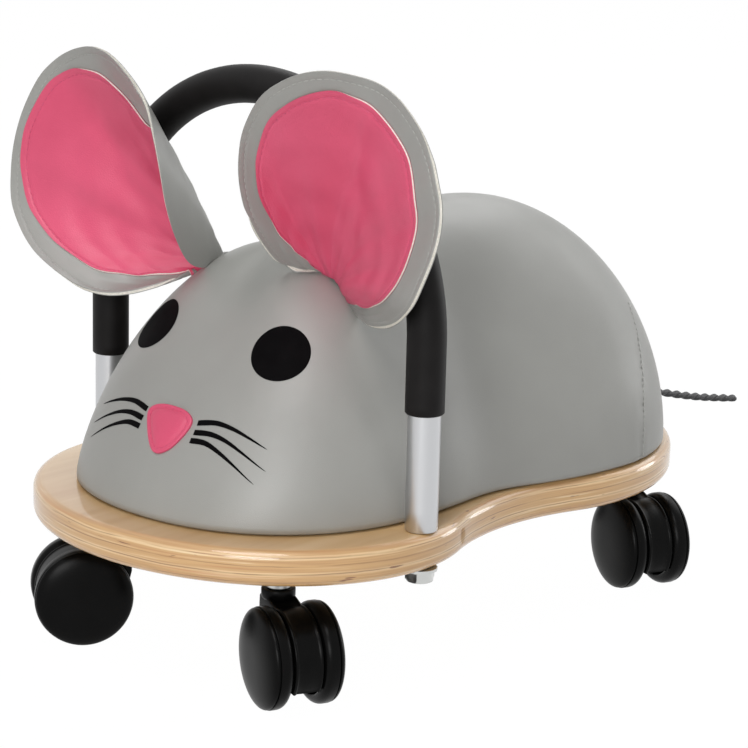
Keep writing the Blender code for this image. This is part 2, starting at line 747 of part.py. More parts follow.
def stem_mesh():
    """Pin in the socket, shoulder, flange under the board, and threaded shank."""
    flange_top = BOARD_BOTTOM - TOUCH - INSERT_LIP - TOUCH
    flange_low = flange_top - STEM_FLANGE_HEIGHT
    pin_low = SOCKET_TOP - SOCKET_DEPTH + TOUCH
    profile = [(0, pin_low), (STEM_RADIUS - WEB_EDGE, pin_low), (STEM_RADIUS, pin_low + WEB_EDGE)]
    profile += [(STEM_RADIUS, SOCKET_TOP + TOUCH), (STEM_SHOULDER_RADIUS, SOCKET_TOP + TOUCH)]
    profile += [(STEM_SHOULDER_RADIUS, flange_low), (STEM_FLANGE_RADIUS, flange_low)]
    profile += [(STEM_FLANGE_RADIUS, flange_top), (STEM_RADIUS, flange_top)]
    profile += [(STEM_RADIUS, BOARD_BOTTOM + STEM_THREAD_LENGTH), (0, BOARD_BOTTOM + STEM_THREAD_LENGTH)]
    return turned("stem", profile, ROUND_STEPS)


def insert_mesh():
    """The threaded insert in the board: a sleeve with a lip under the board."""
    bore = STEM_RADIUS + TOUCH
    top = BOARD_BOTTOM + STEM_THREAD_LENGTH + TOUCH
    low = BOARD_BOTTOM - TOUCH - INSERT_LIP
    profile = [(bore, low), (INSERT_LIP_RADIUS, low), (INSERT_LIP_RADIUS, BOARD_BOTTOM - TOUCH)]
    profile += [(INSERT_RADIUS, BOARD_BOTTOM - TOUCH), (INSERT_RADIUS, top), (bore, top)]
    return turned("insert", profile, ROUND_STEPS)


CASTERS = (
    ("front_right", -FRONT_STEM_ASIDE, HOOP_Y - FRONT_STEM_AHEAD_OF_HOOP, 233),
    ("front_left", FRONT_STEM_ASIDE, HOOP_Y - FRONT_STEM_AHEAD_OF_HOOP, -24),
    ("rear_left", REAR_STEM_ASIDE, REAR_LOBE_Y + REAR_STEM_BEHIND_LOBE, -24),
    ("rear_right", -REAR_STEM_ASIDE, REAR_LOBE_Y + REAR_STEM_BEHIND_LOBE, 201),
)


def caster_stems():
    """(name, x, y, swivel angle) of each caster."""
    for name, x, y, swivel in CASTERS:
        yield name, x, y, math.radians(swivel)


# Everything is placed here

def build_board(wood):
    panel = bmesh.new()
    panel.from_mesh(extruded("base_board", board_outline(), BOARD_BOTTOM, BOARD_TOP))
    faces = [face for face in panel.faces if abs(face.normal.z) > 0.5]
    bmesh.ops.inset_individual(panel, faces=faces, thickness=BOARD_RIM)
    board = add_object("base_board", finished(panel, "base_board"), wood)
    bevel(board, BOARD_EDGE_RADIUS, 2)
    for name, x, y, _ in caster_stems():
        top = BOARD_BOTTOM + STEM_THREAD_LENGTH + 2 * TOUCH
        hole = rod("hole", INSERT_RADIUS + TOUCH, BOARD_BOTTOM - OVERRUN, top, ROUND_STEPS)
        combine(board, helper(f"insert hole {name}", hole, (x, y, 0)), "DIFFERENCE")
    for name, x, y, radius in bolt_places() + screw_places():
        hole = rod("hole", radius + TOUCH, BOARD_BOTTOM - OVERRUN, BOARD_TOP + OVERRUN)
        combine(board, helper(f"hole {name}", hole, (x, y, 0)), "DIFFERENCE")
    return board


def bolt_places():
    return [(f"handle_bolt_{side}", sign * HOOP_HALF_WIDTH, HOOP_Y, BOLT_RADIUS)
            for side, sign in (("left", 1), ("right", -1))]


def screw_places():
    places = []
    for end, centre, half_width in (("front", HEAD_Y, HEAD_HALF_WIDTH), ("rear", SEAT_Y, SEAT_HALF_WIDTH)):
        ahead = -1 if end == "front" else 1
        for side, sign in (("left", 1), ("right", -1)):
            x = sign * half_width * SCREW_INSET_SHARE / 2
            y = centre + ahead * half_width * SCREW_INSET_SHARE
            places.append((f"cushion_screw_{end}_{side}", x, y, SCREW_RADIUS))
    return places


def build_body(ply, foam, hide):
    bottom = BOARD_TOP + CUSHION_BOARD_BOTTOM
    inset = COVER_THICKNESS + 2 * TOUCH
    outline = [(x, y) for x, y, _ in body_ring(CUSHION_BOARD_BOTTOM + CUSHION_BOARD_THICKNESS, 0, inset)]
    panel = add_object("cushion_board", extruded("cushion_board", outline, bottom, bottom + CUSHION_BOARD_THICKNESS), ply)
    for name, x, y, radius in screw_places():
        hole = rod("hole", radius + TOUCH, bottom - OVERRUN, bottom + CUSHION_BOARD_THICKNESS + OVERRUN)
        combine(panel, helper(f"pilot {name}", hole, (x, y, 0)), "DIFFERENCE")
    whole = domed("padding", PADDING_BOTTOM, inset)
    add_object("head_padding", half(whole, True), foam)
    add_object("seat_padding", half(whole, False), foam)
    add_object("body_cover", cover_mesh(), hide)


def mirrored(grid):
    return [[Vector((-point.x, point.y, point.z)) for point in row] for row in grid]


def build_ears(hide, lining):
    half_shell = EAR_THICKNESS / 2
    near = half_shell + TOUCH
    front = ear_layer(-half_shell, False)
    back = ear_layer(half_shell, False)
    inside = ear_layer(-near, True)
    face = ear_layer(-near - EAR_LINING_THICKNESS, True)
    add_object("ear_left", slab("ear_left", front, back), hide)
    add_object("ear_right", slab("ear_right", mirrored(front), mirrored(back)), hide)
    add_object("ear_lining_left", slab("ear_lining_left", inside, face), lining)
    add_object("ear_lining_right", slab("ear_lining_right", mirrored(inside), mirrored(face)), lining)


def build_tail(cord):
    route = [Vector(point) for point in TAIL_ROUTE]
    length = sum((b - a).length for a, b in zip(route, route[1:]))
    count = max(int(length / (2.5 * TAIL_DIAMETER)), 4)
    curve = bpy.data.curves.new("tail_cord", "CURVE")
    curve.dimensions = "3D"
    curve.bevel_depth = TAIL_DIAMETER / 2
    curve.bevel_resolution = 2
    curve.use_fill_caps = True
    spline = curve.splines.new("POLY")
    spline.points.add(count)
    for i in range(count + 1):
        spline.points[i].co = (*spline_point(route, i / count), 1)
    curve.materials.append(cord)
    tail = bpy.data.objects.new("tail_cord", curve)
    bpy.context.scene.collection.objects.link(tail)


def build_handle(tube_metal, grip, steel, plastic):
    low = BOARD_TOP + TOUCH
    bore = TUBE_RADIUS - TUBE_WALL
    add_object("handlebar_tube", hoop_tube("handlebar_tube", TUBE_RADIUS, bore, low, low), tube_metal)
    sleeve = TUBE_RADIUS + TOUCH
    mesh = hoop_tube("handle_grip", sleeve + GRIP_THICKNESS, sleeve, GRIP_END_LEFT, GRIP_END_RIGHT)
    add_object("handle_grip", mesh, grip)
    hole = BOLT_RADIUS + TOUCH
    plug = [(hole, low), (bore - TOUCH, low), (bore - TOUCH, low + PLUG_LENGTH), (hole, low + PLUG_LENGTH)]
    washer_top = BOARD_BOTTOM - TOUCH
    washer = [(hole, washer_top - WASHER_THICKNESS), (WASHER_RADIUS, washer_top - WASHER_THICKNESS)]
    washer += [(WASHER_RADIUS, washer_top), (hole, washer_top)]
    head_top = washer_top - WASHER_THICKNESS - TOUCH
    for (name, x, y, radius), side in zip(bolt_places(), ("left", "right")):
        add_object(f"tube_plug_{side}", turned("plug", plug, ROUND_STEPS), plastic, location=(x, y, 0))
        add_object(f"handle_washer_{side}", turned("washer", washer, ROUND_STEPS), steel, location=(x, y, 0))
        head = helper("head", extruded("head", list(arc((0, 0), BOLT_HEAD_RADIUS, 0, math.tau, 6))[:-1],
                                       head_top - BOLT_HEAD_HEIGHT, head_top))
        shank = helper("shank", rod("shank", radius, head_top - BOLT_HEAD_HEIGHT / 2, head_top + BOLT_LENGTH,
                                    ROUND_STEPS))
        combine(head, shank, "UNION")
        add_object(name, baked(head, (shank,)), steel, location=(x, y, 0))


def build_screws(steel):
    head_top = BOARD_BOTTOM - TOUCH
    tip = BOARD_TOP + CUSHION_BOARD_BOTTOM + CUSHION_BOARD_THICKNESS * SCREW_REACH_SHARE
    rim = SCREW_HEAD_RADIUS
    profile = [(0, head_top - SCREW_HEAD_HEIGHT), (rim / 2, head_top - SCREW_HEAD_HEIGHT)]
    profile += [(rim, head_top - SCREW_HEAD_HEIGHT / 2), (rim, head_top), (SCREW_RADIUS, head_top)]
    profile += [(SCREW_RADIUS, tip - SCREW_RADIUS), (0, tip)]
    for name, x, y, _ in screw_places():
        add_object(name, turned("screw", profile, SMALL_STEPS), steel, location=(x, y, 0))


def build_casters(zinc, nylon, steel):
    stem, insert, housing, wheel = stem_mesh(), insert_mesh(), housing_mesh(), wheel_mesh()
    reach_out = WHEEL_INNER + WHEEL_WIDTH - WHEEL_WALL - TOUCH
    axle = rod("axle", AXLE_RADIUS, -reach_out, reach_out, ROUND_STEPS, "Y")
    for name, x, y, swivel in caster_stems():
        add_object(f"caster_insert_{name}", insert, steel, location=(x, y, 0))
        add_object(f"caster_stem_{name}", stem, zinc, location=(x, y, 0))
        body = add_empty(f"swivel_{name}", (x, y, 0), swivel)
        add_object(f"caster_housing_{name}", housing, nylon, body)
        centre = (TRAIL, 0, WHEEL_RADIUS)
        add_object(f"axle_{name}", axle, steel, body, centre)
        for side, turn in (("a", 0.0), ("b", math.pi)):
            add_object(f"wheel_{name}_{side}", wheel, nylon, body, centre, turn)


def build():
    wood = material("birch plywood, clear lacquer", "d9b583", 0.35)
    ply = material("raw plywood", "c9a878", 0.7)
    foam = material("polyurethane foam", "e6dfc8", 0.9)
    hide = material("grey leatherette", "9b9a96", 0.45)
    lining = material("pink leatherette", "e2557a", 0.45)
    cord = material("black waxed cord", "17171a", 0.6)
    tube_metal = material("satin aluminium", "c9ccd0", 0.3, 1.0)
    grip = material("black foam rubber", "1d1d20", 0.7)
    nylon = material("black nylon", "121214", 0.3)
    zinc = material("zinc-plated steel", "c6c8cc", 0.3, 1.0)
    steel = material("plated steel", "b9bcc0", 0.35, 1.0)
    build_board(wood)
    build_body(ply, foam, hide)
    add_object("nose_patch", lens("nose_patch", nose_mesh()), lining)
    build_ears(hide, lining)
    build_tail(cord)
    build_handle(tube_metal, grip, steel, nylon)
    build_screws(steel)
    build_casters(zinc, nylon, steel)


build()
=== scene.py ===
# %% [markdown]
# # Dressing a ride on mouse
#
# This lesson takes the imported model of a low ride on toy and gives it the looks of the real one: a padded
# mouse in grey leatherette on a lacquered plywood board, with a hoop handle and four twin-wheel casters.
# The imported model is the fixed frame. Each new piece rides on one of its bodies and often stands in for
# one of its plain solids.

import math

import bmesh
import bpy
import numpy as np
from mathutils import Matrix, Vector


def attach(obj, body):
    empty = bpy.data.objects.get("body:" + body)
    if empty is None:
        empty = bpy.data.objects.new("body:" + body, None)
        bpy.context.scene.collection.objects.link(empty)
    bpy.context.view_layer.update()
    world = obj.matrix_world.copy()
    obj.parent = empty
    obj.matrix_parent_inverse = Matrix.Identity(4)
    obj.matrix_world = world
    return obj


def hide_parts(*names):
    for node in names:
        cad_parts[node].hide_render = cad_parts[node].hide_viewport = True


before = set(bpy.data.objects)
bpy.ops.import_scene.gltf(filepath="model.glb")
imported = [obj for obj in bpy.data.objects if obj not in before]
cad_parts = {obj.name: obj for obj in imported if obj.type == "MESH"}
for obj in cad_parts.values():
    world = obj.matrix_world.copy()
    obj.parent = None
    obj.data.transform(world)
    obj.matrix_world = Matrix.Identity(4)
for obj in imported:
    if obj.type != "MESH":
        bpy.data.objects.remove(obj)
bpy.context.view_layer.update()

# %% [markdown]
# ## The camera
#
# The photograph was taken from the front left of the mouse, a little above it, with a long lens. The
# camera's place was worked out from straight edges and round parts of known size, so it is written here
# as three turns, one place and a focal length in pixels of the 748 pixel frame.

# %% Place the camera
FRAME_PIXELS = 748
SENSOR_MM = 36.0
FOCAL_PIXELS = 2676.8
CAMERA_PLACE = Vector((0.9015, -1.0139, 0.4723))
CAMERA_YAW, CAMERA_PITCH, CAMERA_ROLL = 0.7255, 0.2495, 0.0258
FARTHEST_SEEN = 20

backward = Vector((
    math.sin(CAMERA_YAW) * math.cos(CAMERA_PITCH),
    -math.cos(CAMERA_YAW) * math.cos(CAMERA_PITCH),
    math.sin(CAMERA_PITCH),
))
level = Vector((math.cos(CAMERA_YAW), math.sin(CAMERA_YAW), 0))
upright = backward.cross(level)
right = level * math.cos(CAMERA_ROLL) + upright * math.sin(CAMERA_ROLL)
up = upright * math.cos(CAMERA_ROLL) - level * math.sin(CAMERA_ROLL)

lens = bpy.data.cameras.new("photo_camera")
lens.sensor_width = SENSOR_MM
lens.lens = SENSOR_MM * FOCAL_PIXELS / FRAME_PIXELS
lens.clip_end = FARTHEST_SEEN
camera = bpy.data.objects.new("photo_camera", lens)
bpy.context.scene.collection.objects.link(camera)
turn = Matrix((right, up, backward)).transposed()
camera.matrix_world = Matrix.Translation(CAMERA_PLACE) @ turn.to_4x4()
bpy.context.scene.camera = camera
print("camera at", tuple(round(value, 3) for value in camera.location), "lens", round(lens.lens, 1), "mm")

# %% [markdown]
# ## Tools for materials
#
# Colours are picked as sRGB hex values, the way an eye reads them off a screen, and the shader wants
# linear light, so one function turns them. Another adds a shader node with its settings and its links in
# one line, which keeps each material short enough to read. Every pattern lies in the object's own space,
# and its scale is worked out from a real size.

# %% Colour and node helpers
MM = 0.001


def linear(colour):
    values = []
    for start in (0, 2, 4):
        value = int(colour[start:start + 2], 16) / 255
        values.append(((value + 0.055) / 1.055) ** 2.4 if value > 0.04045 else value / 12.92)
    return (*values, 1.0)


def add(tree, kind, inputs=None, output=0, stops=(), **settings):
    """Adds a node and returns one of its outputs.

    Inputs may be values or other nodes' outputs. Stops are a ramp's, each a place and an sRGB hex colour.
    """
    node = tree.nodes.new(kind)
    for name, value in settings.items():
        setattr(node, name, value)
    for name, value in (inputs or {}).items():
        if isinstance(value, bpy.types.NodeSocket):
            tree.links.new(value, node.inputs[name])
        else:
            node.inputs[name].default_value = value
    for _ in stops[2:]:
        node.color_ramp.elements.new(0.5)
    for number, (place, colour) in enumerate(stops):
        node.color_ramp.elements[number].position = place
        node.color_ramp.elements[number].color = linear(colour)
    return node.outputs[output]


def start_material(name, colour, roughness, **values):
    """A Principled material and its tree; values are the shader's further inputs."""
    material = bpy.data.materials.new(name)
    material.use_nodes = True
    inputs = material.node_tree.nodes["Principled BSDF"].inputs
    for socket, value in {"Base Color": linear(colour), "Roughness": roughness, **values}.items():
        inputs[socket].default_value = value
    return material, material.node_tree


def finished(material, links):
    """The material, once outputs are linked to its shader's inputs by name."""
    tree = material.node_tree
    for name, output in links.items():
        tree.links.new(output, tree.nodes["Principled BSDF"].inputs[name])
    return material


print("material helpers ready")

# %% [markdown]
# ## Leatherette
#
# The cover is polyurethane leatherette: a soft plastic skin embossed with a fine grain over a white knit.
# To the eye it is an even grey with a broad soft sheen. A picture of real grain would need its own place on
# every seam, so the grain is a cell pattern instead, which needs none. It is less than a millimetre across,
# and it is drawn here a little coarser so that it shows. Large soft clouds vary the tone, as handling
# does, and the roughness follows them. The prints are a thin dull ink, so the grain shows through.


# %% Make the leatherette finishes
CLOUD_MM, CREASE_MM, FIBRE_MM = 60, 9, 0.5
INK_GRAIN_MM, INK_CLOUD_MM = 0.7, 6
GLOSS_RANGE = 0.05


def leatherette(name, colour, shade, roughness, grain_mm, grain_depth):
    material, tree = start_material(name, colour, roughness)
    place = add(tree, "ShaderNodeTexCoord", output="Object")
    clouds = add(tree, "ShaderNodeTexNoise", {"Vector": place, "Scale": 1 / (CLOUD_MM * MM), "Detail": 3.0})
    tone = add(tree, "ShaderNodeValToRGB", {"Fac": clouds}, stops=((0.3, shade), (0.7, colour)))
    ends = {"To Min": roughness + GLOSS_RANGE, "To Max": roughness - GLOSS_RANGE}
    gloss = add(tree, "ShaderNodeMapRange", {"Value": clouds, "From Min": 0.3, "From Max": 0.7, **ends})
    cells = add(tree, "ShaderNodeTexVoronoi", {"Vector": place, "Scale": 1 / (grain_mm * MM)},
                feature="DISTANCE_TO_EDGE")
    grain = add(tree, "ShaderNodeMath", {0: cells, 1: 4.0}, operation="MULTIPLY", use_clamp=True)
    creases = add(tree, "ShaderNodeTexNoise",
                  {"Vector": place, "Scale": 1 / (CREASE_MM * MM), "Detail": 5.0, "Distortion": 0.6})
    height = add(tree, "ShaderNodeMath", {0: creases, 1: 1.6, 2: grain}, operation="MULTIPLY_ADD")
    normal = add(tree, "ShaderNodeBump", {"Height": height, "Strength": 0.35, "Distance": grain_depth})
    return finished(material, {"Base Color": tone, "Roughness": gloss, "Normal": normal})


def cut_edge():
    """The white knit backing that shows where leatherette is cut and left raw."""
    material, tree = start_material("leatherette_cut_edge_cream", "e6e2d8", 0.85)
    place = add(tree, "ShaderNodeTexCoord", output="Object")
    fibres = add(tree, "ShaderNodeTexNoise", {"Vector": place, "Scale": 1 / (FIBRE_MM * MM), "Detail": 4.0})
    tone = add(tree, "ShaderNodeValToRGB", {"Fac": fibres}, stops=((0.3, "cfcabd"), (0.65, "f0ede5")))
    normal = add(tree, "ShaderNodeBump", {"Height": fibres, "Strength": 0.6, "Distance": 0.15 * MM})
    return finished(material, {"Base Color": tone, "Normal": normal})


def printed_ink():
    material, tree = start_material("screen_ink_black", "080708", 0.6, **{"Specular IOR Level": 0.03})
    place = add(tree, "ShaderNodeTexCoord", output="Object")
    clouds = add(tree, "ShaderNodeTexNoise",
                 {"Vector": place, "Scale": 1 / (INK_CLOUD_MM * MM), "Detail": 4.0})
    tone = add(tree, "ShaderNodeValToRGB", {"Fac": clouds}, stops=((0.3, "040304"), (0.7, "080708")))
    cells = add(tree, "ShaderNodeTexVoronoi", {"Vector": place, "Scale": 1 / (INK_GRAIN_MM * MM)},
                feature="DISTANCE_TO_EDGE")
    normal = add(tree, "ShaderNodeBump", {"Height": cells, "Strength": 0.35, "Distance": 0.05 * MM})
    return finished(material, {"Base Color": tone, "Normal": normal})


GREY_LEATHERETTE = leatherette("leatherette_embossed_grey", "9c9c98", "949490", 0.42, 0.7, 0.06 * MM)
PINK_LEATHERETTE = leatherette("leatherette_embossed_pink", "dc5577", "cf4a6b", 0.42, 1.1, 0.12 * MM)
CUT_EDGE = cut_edge()
INK = printed_ink()
print("leatherette, cut edge and ink made")

# %% [markdown]
# ## Plywood
#
# The board is birch plywood, 18 mm of nine plies whose grain runs lengthwise and crosswise in turn. On the
# flat face one ply shows, with long faint figure. On the edge each ply is a stripe 2 mm high. Their glue
# lines come and go, a few orange streaks run between them, and here and there a ply has a small void.
# The stripes are worked out from the height alone, so they run true round the whole edge. A clear lacquer
# lies over the wood, which is the shader's coat and gives it a hard bright highlight.

# %% Make the plywood finish
BOARD_BOTTOM = 0.0667
BOARD_THICKNESS = 0.018
BOARD_TOP = BOARD_BOTTOM + BOARD_THICKNESS
PLIES = 9
WAVE_MM, WAVE_HEIGHT = 45, 2.2 * MM


def wood_grain(tree, scale, detail, distortion=0.0, shift=0.0):
    """Noise drawn out by its own scale along each axis."""
    place = add(tree, "ShaderNodeTexCoord", output="Object")
    mapped = add(tree, "ShaderNodeMapping", {"Vector": place, "Scale": scale, "Location": (shift,) * 3})
    inputs = {"Vector": mapped, "Scale": 1.0, "Detail": detail, "Distortion": distortion}
    return add(tree, "ShaderNodeTexNoise", inputs)


def ply_stripes(tree, streaks):
    """The colour of the board's edge: stripes, then streaks, glue lines and voids laid over them."""
    place = add(tree, "ShaderNodeTexCoord", output="Object")
    height = add(tree, "ShaderNodeSeparateXYZ", {"Vector": place}, "Z")
    waves = add(tree, "ShaderNodeTexNoise", {"Vector": place, "Scale": 1 / (WAVE_MM * MM), "Detail": 3.0})
    wavy = add(tree, "ShaderNodeMath", {0: waves, 1: WAVE_HEIGHT, 2: height}, operation="MULTIPLY_ADD")
    ends = {"From Min": BOARD_BOTTOM, "From Max": BOARD_TOP, "To Max": float(PLIES)}
    layer = add(tree, "ShaderNodeMapRange", {"Value": wavy, **ends}, clamp=False)
    within = add(tree, "ShaderNodeMath", {0: layer, 1: 2.0}, operation="PINGPONG")
    joint = add(tree, "ShaderNodeMath", {0: layer, 1: 1.0}, operation="PINGPONG")
    fades = wood_grain(tree, (25, 25, 300), 3.0)
    fades = add(tree, "ShaderNodeMapRange", {"Value": fades, "From Min": 0.38, "From Max": 0.55})
    orange = wood_grain(tree, (9, 9, 420), 3.0, 0.1, 4.3)
    voids = wood_grain(tree, (60, 60, 520), 2.0, 0.0, 9.1)
    wood = add(tree, "ShaderNodeValToRGB", {"Fac": within}, stops=((0.42, "e6c596"), (0.58, "d2a872")))
    for value, low, high, share, colour in (
        (streaks, 0.42, 0.68, 0.65, "b98a58"),
        (streaks, 0.40, 0.30, 0.6, "f1deb8"),
        (joint, 0.18, 0.0, fades, "95683b"),
        (orange, 0.60, 0.72, 0.55, "c5834f"),
        (voids, 0.705, 0.74, 0.8, "7b4a2b"),
    ):
        inputs = {"Value": value, "From Min": low, "From Max": high, "To Max": share}
        strength = add(tree, "ShaderNodeMapRange", inputs)
        wood = add(tree, "ShaderNodeMix", {0: strength, 6: wood, 7: linear(colour)}, 2, data_type="RGBA")
    return wood


def lacquered_plywood():
    coat = {"Coat Weight": 0.9, "Coat Roughness": 0.07}
    material, tree = start_material("birch_plywood_lacquered", "dcb582", 0.45, **coat)
    streaks = wood_grain(tree, (16, 16, 900), 6.0, 0.2)
    figure = wood_grain(tree, (60, 5, 60), 7.0, 0.4)
    face = add(tree, "ShaderNodeValToRGB", {"Fac": figure},
               stops=((0.3, "caa06a"), (0.5, "d6b07c"), (0.7, "debb8a")))
    facing = add(tree, "ShaderNodeNewGeometry", output="Normal")
    upward = add(tree, "ShaderNodeSeparateXYZ", {"Vector": facing}, "Z")
    upness = add(tree, "ShaderNodeMath", {0: upward}, operation="ABSOLUTE")
    share = add(tree, "ShaderNodeMapRange", {"Value": upness, "From Min": 0.93, "From Max": 0.985})
    edge = ply_stripes(tree, streaks)
    wood = add(tree, "ShaderNodeMix", {0: share, 6: edge, 7: face}, 2, data_type="RGBA")
    normal = add(tree, "ShaderNodeBump", {"Height": streaks, "Strength": 0.12, "Distance": 0.08 * MM})
    return finished(material, {"Base Color": wood, "Normal": normal})


PLYWOOD = lacquered_plywood()
print("plywood made with", PLIES, "plies of", round(BOARD_THICKNESS / PLIES * 1000, 2), "mm")

# %% [markdown]
# ## Metals, rubber and nylon
#
# The hoop is anodised aluminium tube with a satin finish, the grip is closed-cell foam rubber, and the
# casters are injection moulded nylon on zinc plated steel stems. Each gets a fine bump at the size of its
# real surface. Drawing lines spread the tube's highlight, the open skin of the foam makes it look dull and
# soft, and a light spark texture keeps the nylon's gloss from being a mirror's.

# %% Make the metals, the foam and the nylon
DRAWN_SCALE = (2500, 2500, 30)
SOFT_CLOUD_MM = 14


def satin_aluminium():
    material, tree = start_material("aluminium_anodised_satin", "c6c7c9", 0.34, Metallic=1.0)
    place = add(tree, "ShaderNodeTexCoord", output="Object")
    drawn = add(tree, "ShaderNodeMapping", {"Vector": place, "Scale": DRAWN_SCALE})
    lines = add(tree, "ShaderNodeTexNoise", {"Vector": drawn, "Scale": 1.0, "Detail": 2.0})
    rough = add(tree, "ShaderNodeMapRange", {"Value": lines, "To Min": 0.28, "To Max": 0.42})
    normal = add(tree, "ShaderNodeBump", {"Height": lines, "Strength": 0.12, "Distance": 0.02 * MM})
    return finished(material, {"Roughness": rough, "Normal": normal})


def speckled(name, colour, light, roughness, size_mm, depth, strength=0.4, **values):
    """A plain finish with a fine speckle of bump at a real size and soft clouds of tone."""
    material, tree = start_material(name, colour, roughness, **values)
    place = add(tree, "ShaderNodeTexCoord", output="Object")
    speckle, clouds = (
        add(tree, "ShaderNodeTexNoise", {"Vector": place, "Scale": 1 / (size * MM), "Detail": 3.0})
        for size in (size_mm, SOFT_CLOUD_MM)
    )
    tone = add(tree, "ShaderNodeValToRGB", {"Fac": clouds}, stops=((0.35, colour), (0.7, light)))
    normal = add(tree, "ShaderNodeBump", {"Height": speckle, "Strength": strength, "Distance": depth})
    return finished(material, {"Base Color": tone, "Normal": normal})


ALUMINIUM = satin_aluminium()
FOAM_RUBBER = speckled("foam_rubber_black", "0e0c0c", "151313", 0.55, 0.6, 0.08 * MM,
                       **{"Specular IOR Level": 0.16})
NYLON = speckled("nylon_moulded_black", "040404", "080808", 0.3, 0.5, 0.02 * MM, 0.15,
                 **{"Specular IOR Level": 0.08})
ZINC = speckled("steel_zinc_plated", "c3c4c2", "d4d5d3", 0.28, 0.8, 0.02 * MM, 0.2, Metallic=1.0)
POLYAMIDE_PLUG = speckled("polyamide_plug_black", "151516", "1c1c1d", 0.5, 0.5, 0.03 * MM)
RAW_PLYWOOD = speckled("birch_plywood_raw", "c6a173", "d5b48a", 0.7, 0.9, 0.1 * MM)
print("metals, foam and nylon made")

# %% [markdown]
# ## Tools for shapes
#
# Most pieces here are rings of points joined into a skin. They could be modelled by hand, but points that
# are worked out follow a changed size. A finished piece stays at the origin, with its place in its points,
# as the frame's own nodes do, and one function tells the frame what the piece belongs to.

# %% Mesh helpers
SIDES = {"left": 1, "right": -1}


def piece(name, build, *materials, flat_angle=None):
    """Turns a bmesh into a piece with outward faces, smooth shading and its materials."""
    bmesh.ops.remove_doubles(build, verts=build.verts, dist=1e-6)
    bmesh.ops.recalc_face_normals(build, faces=build.faces)
    mesh = bpy.data.meshes.new(name)
    build.to_mesh(mesh)
    build.free()
    for material in materials:
        mesh.materials.append(material)
    mesh.shade_smooth()
    if flat_angle:
        mesh.set_sharp_from_angle(angle=math.radians(flat_angle))
    made = bpy.data.objects.new(name, mesh)
    bpy.context.scene.collection.objects.link(made)
    return made


def add_rings(build, rings, caps=(), closed=True):
    """Joins rings of points one to the next; caps are the numbers of rings filled with a face."""
    made = [[build.verts.new(point) for point in ring] for ring in rings]
    for ring, following in zip(made, made[1:]):
        for i in range(len(ring) if closed else len(ring) - 1):
            j = (i + 1) % len(ring)
            build.faces.new((ring[i], ring[j], following[j], following[i]))
    for number in caps:
        build.faces.new(made[number])


def skinned(name, rings, material, caps=(), flat_angle=None):
    """A piece from one row of rings."""
    build = bmesh.new()
    add_rings(build, rings, caps)
    return piece(name, build, material, flat_angle=flat_angle)


def apply_modifiers(made):
    """Replaces the piece's mesh with its evaluated one, so that no modifier is left on it."""
    graph = bpy.context.evaluated_depsgraph_get()
    mesh = bpy.data.meshes.new_from_object(made.evaluated_get(graph))
    made.modifiers.clear()
    made.data = mesh


def belongs(made, body="base", nodes=()):
    """Says which body a piece rides on and which plain nodes it stands in for."""
    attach(made, body)
    if nodes:
        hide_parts(*nodes)


def unit(rows):
    """The rows' directions."""
    return rows / np.maximum(np.linalg.norm(rows, axis=-1), 1e-9)[..., None]


print("mesh helpers ready")

# %% [markdown]
# ## The tail
#
# The tail is a short cord of two waxed cotton strands laid together. It comes out of the cover low at the
# back, and it is stiff enough to stand out by itself with a slight droop. The two strands are tubes that
# wind round the cord's route, half a turn apart, and the end is sealed into a small round tip.

# %% Lay the tail's two strands
TAIL_ROUTE = [
    (0, 0.1840, 0.0895),
    (0, 0.2000, 0.0870),
    (0, 0.2250, 0.0808),
    (0, 0.2605, 0.0705),
    (0, 0.3010, 0.0602),
    (0, 0.3425, 0.0518),
]
TAIL_STEPS = 260
TAIL_DIAMETER = 0.0048
LAY_LENGTH = 0.0205
STRAND_RADIUS, STRAND_STEPS = 0.0015, 12
TIP_LENGTH, TAPER_LENGTH = 2.5 * MM, 7 * MM
TIP_LEAST, TAPER_LEAST = 0.0004, 0.55
FIBRE_SCALE, FIBRE_SLANT = (1400, 500, 1400), 0.5


def curve_through(points, places, closed=False):
    """Points of a smooth curve through the given rows, at places that run from 0 to 1."""
    points = np.asarray(points, float)
    count = len(points)
    spans = count if closed else count - 1
    index = np.minimum((places * spans).astype(int), spans - 1)
    share = (places * spans - index)[:, None]
    rows = (index + step for step in (-1, 0, 1, 2))
    a, b, c, d = (points[row % count if closed else np.clip(row, 0, count - 1)] for row in rows)
    return 0.5 * (2 * b + (c - a) * share + (2 * a - 5 * b + 4 * c - d) * share ** 2
                  + (3 * b - a - 3 * c + d) * share ** 3)


def along_line(line):
    """The direction of a row of points at each of them."""
    return unit(np.vstack([line[1:2] - line[:1], line[2:] - line[:-2], line[-1:] - line[-2:-1]]))


def round_rings(centres, radii, first, second, steps):
    """A ring of points round each centre, in the plane of two directions."""
    first, second = (np.broadcast_to(way, centres.shape)[:, None] for way in (first, second))
    turns = math.tau * np.arange(steps)[:, None] / steps
    return centres[:, None] + (first * np.cos(turns) + second * np.sin(turns)) * np.reshape(radii, (-1, 1, 1))


def waxed_cotton():
    """Black cotton with a slight shine, its long fibres drawn at a slant."""
    material, tree = start_material("cotton_cord_waxed_black", "121214", 0.55)
    place = add(tree, "ShaderNodeTexCoord", output="Object")
    mapping = {"Vector": place, "Scale": FIBRE_SCALE, "Rotation": (FIBRE_SLANT, 0, 0)}
    drawn = add(tree, "ShaderNodeMapping", mapping)
    fibres = add(tree, "ShaderNodeTexNoise", {"Vector": drawn, "Scale": 1.0, "Detail": 3.0})
    tone = add(tree, "ShaderNodeValToRGB", {"Fac": fibres}, stops=((0.35, "0a0a0c"), (0.7, "26262a")))
    normal = add(tree, "ShaderNodeBump", {"Height": fibres, "Strength": 0.6, "Distance": 0.15 * MM})
    return finished(material, {"Base Color": tone, "Normal": normal})


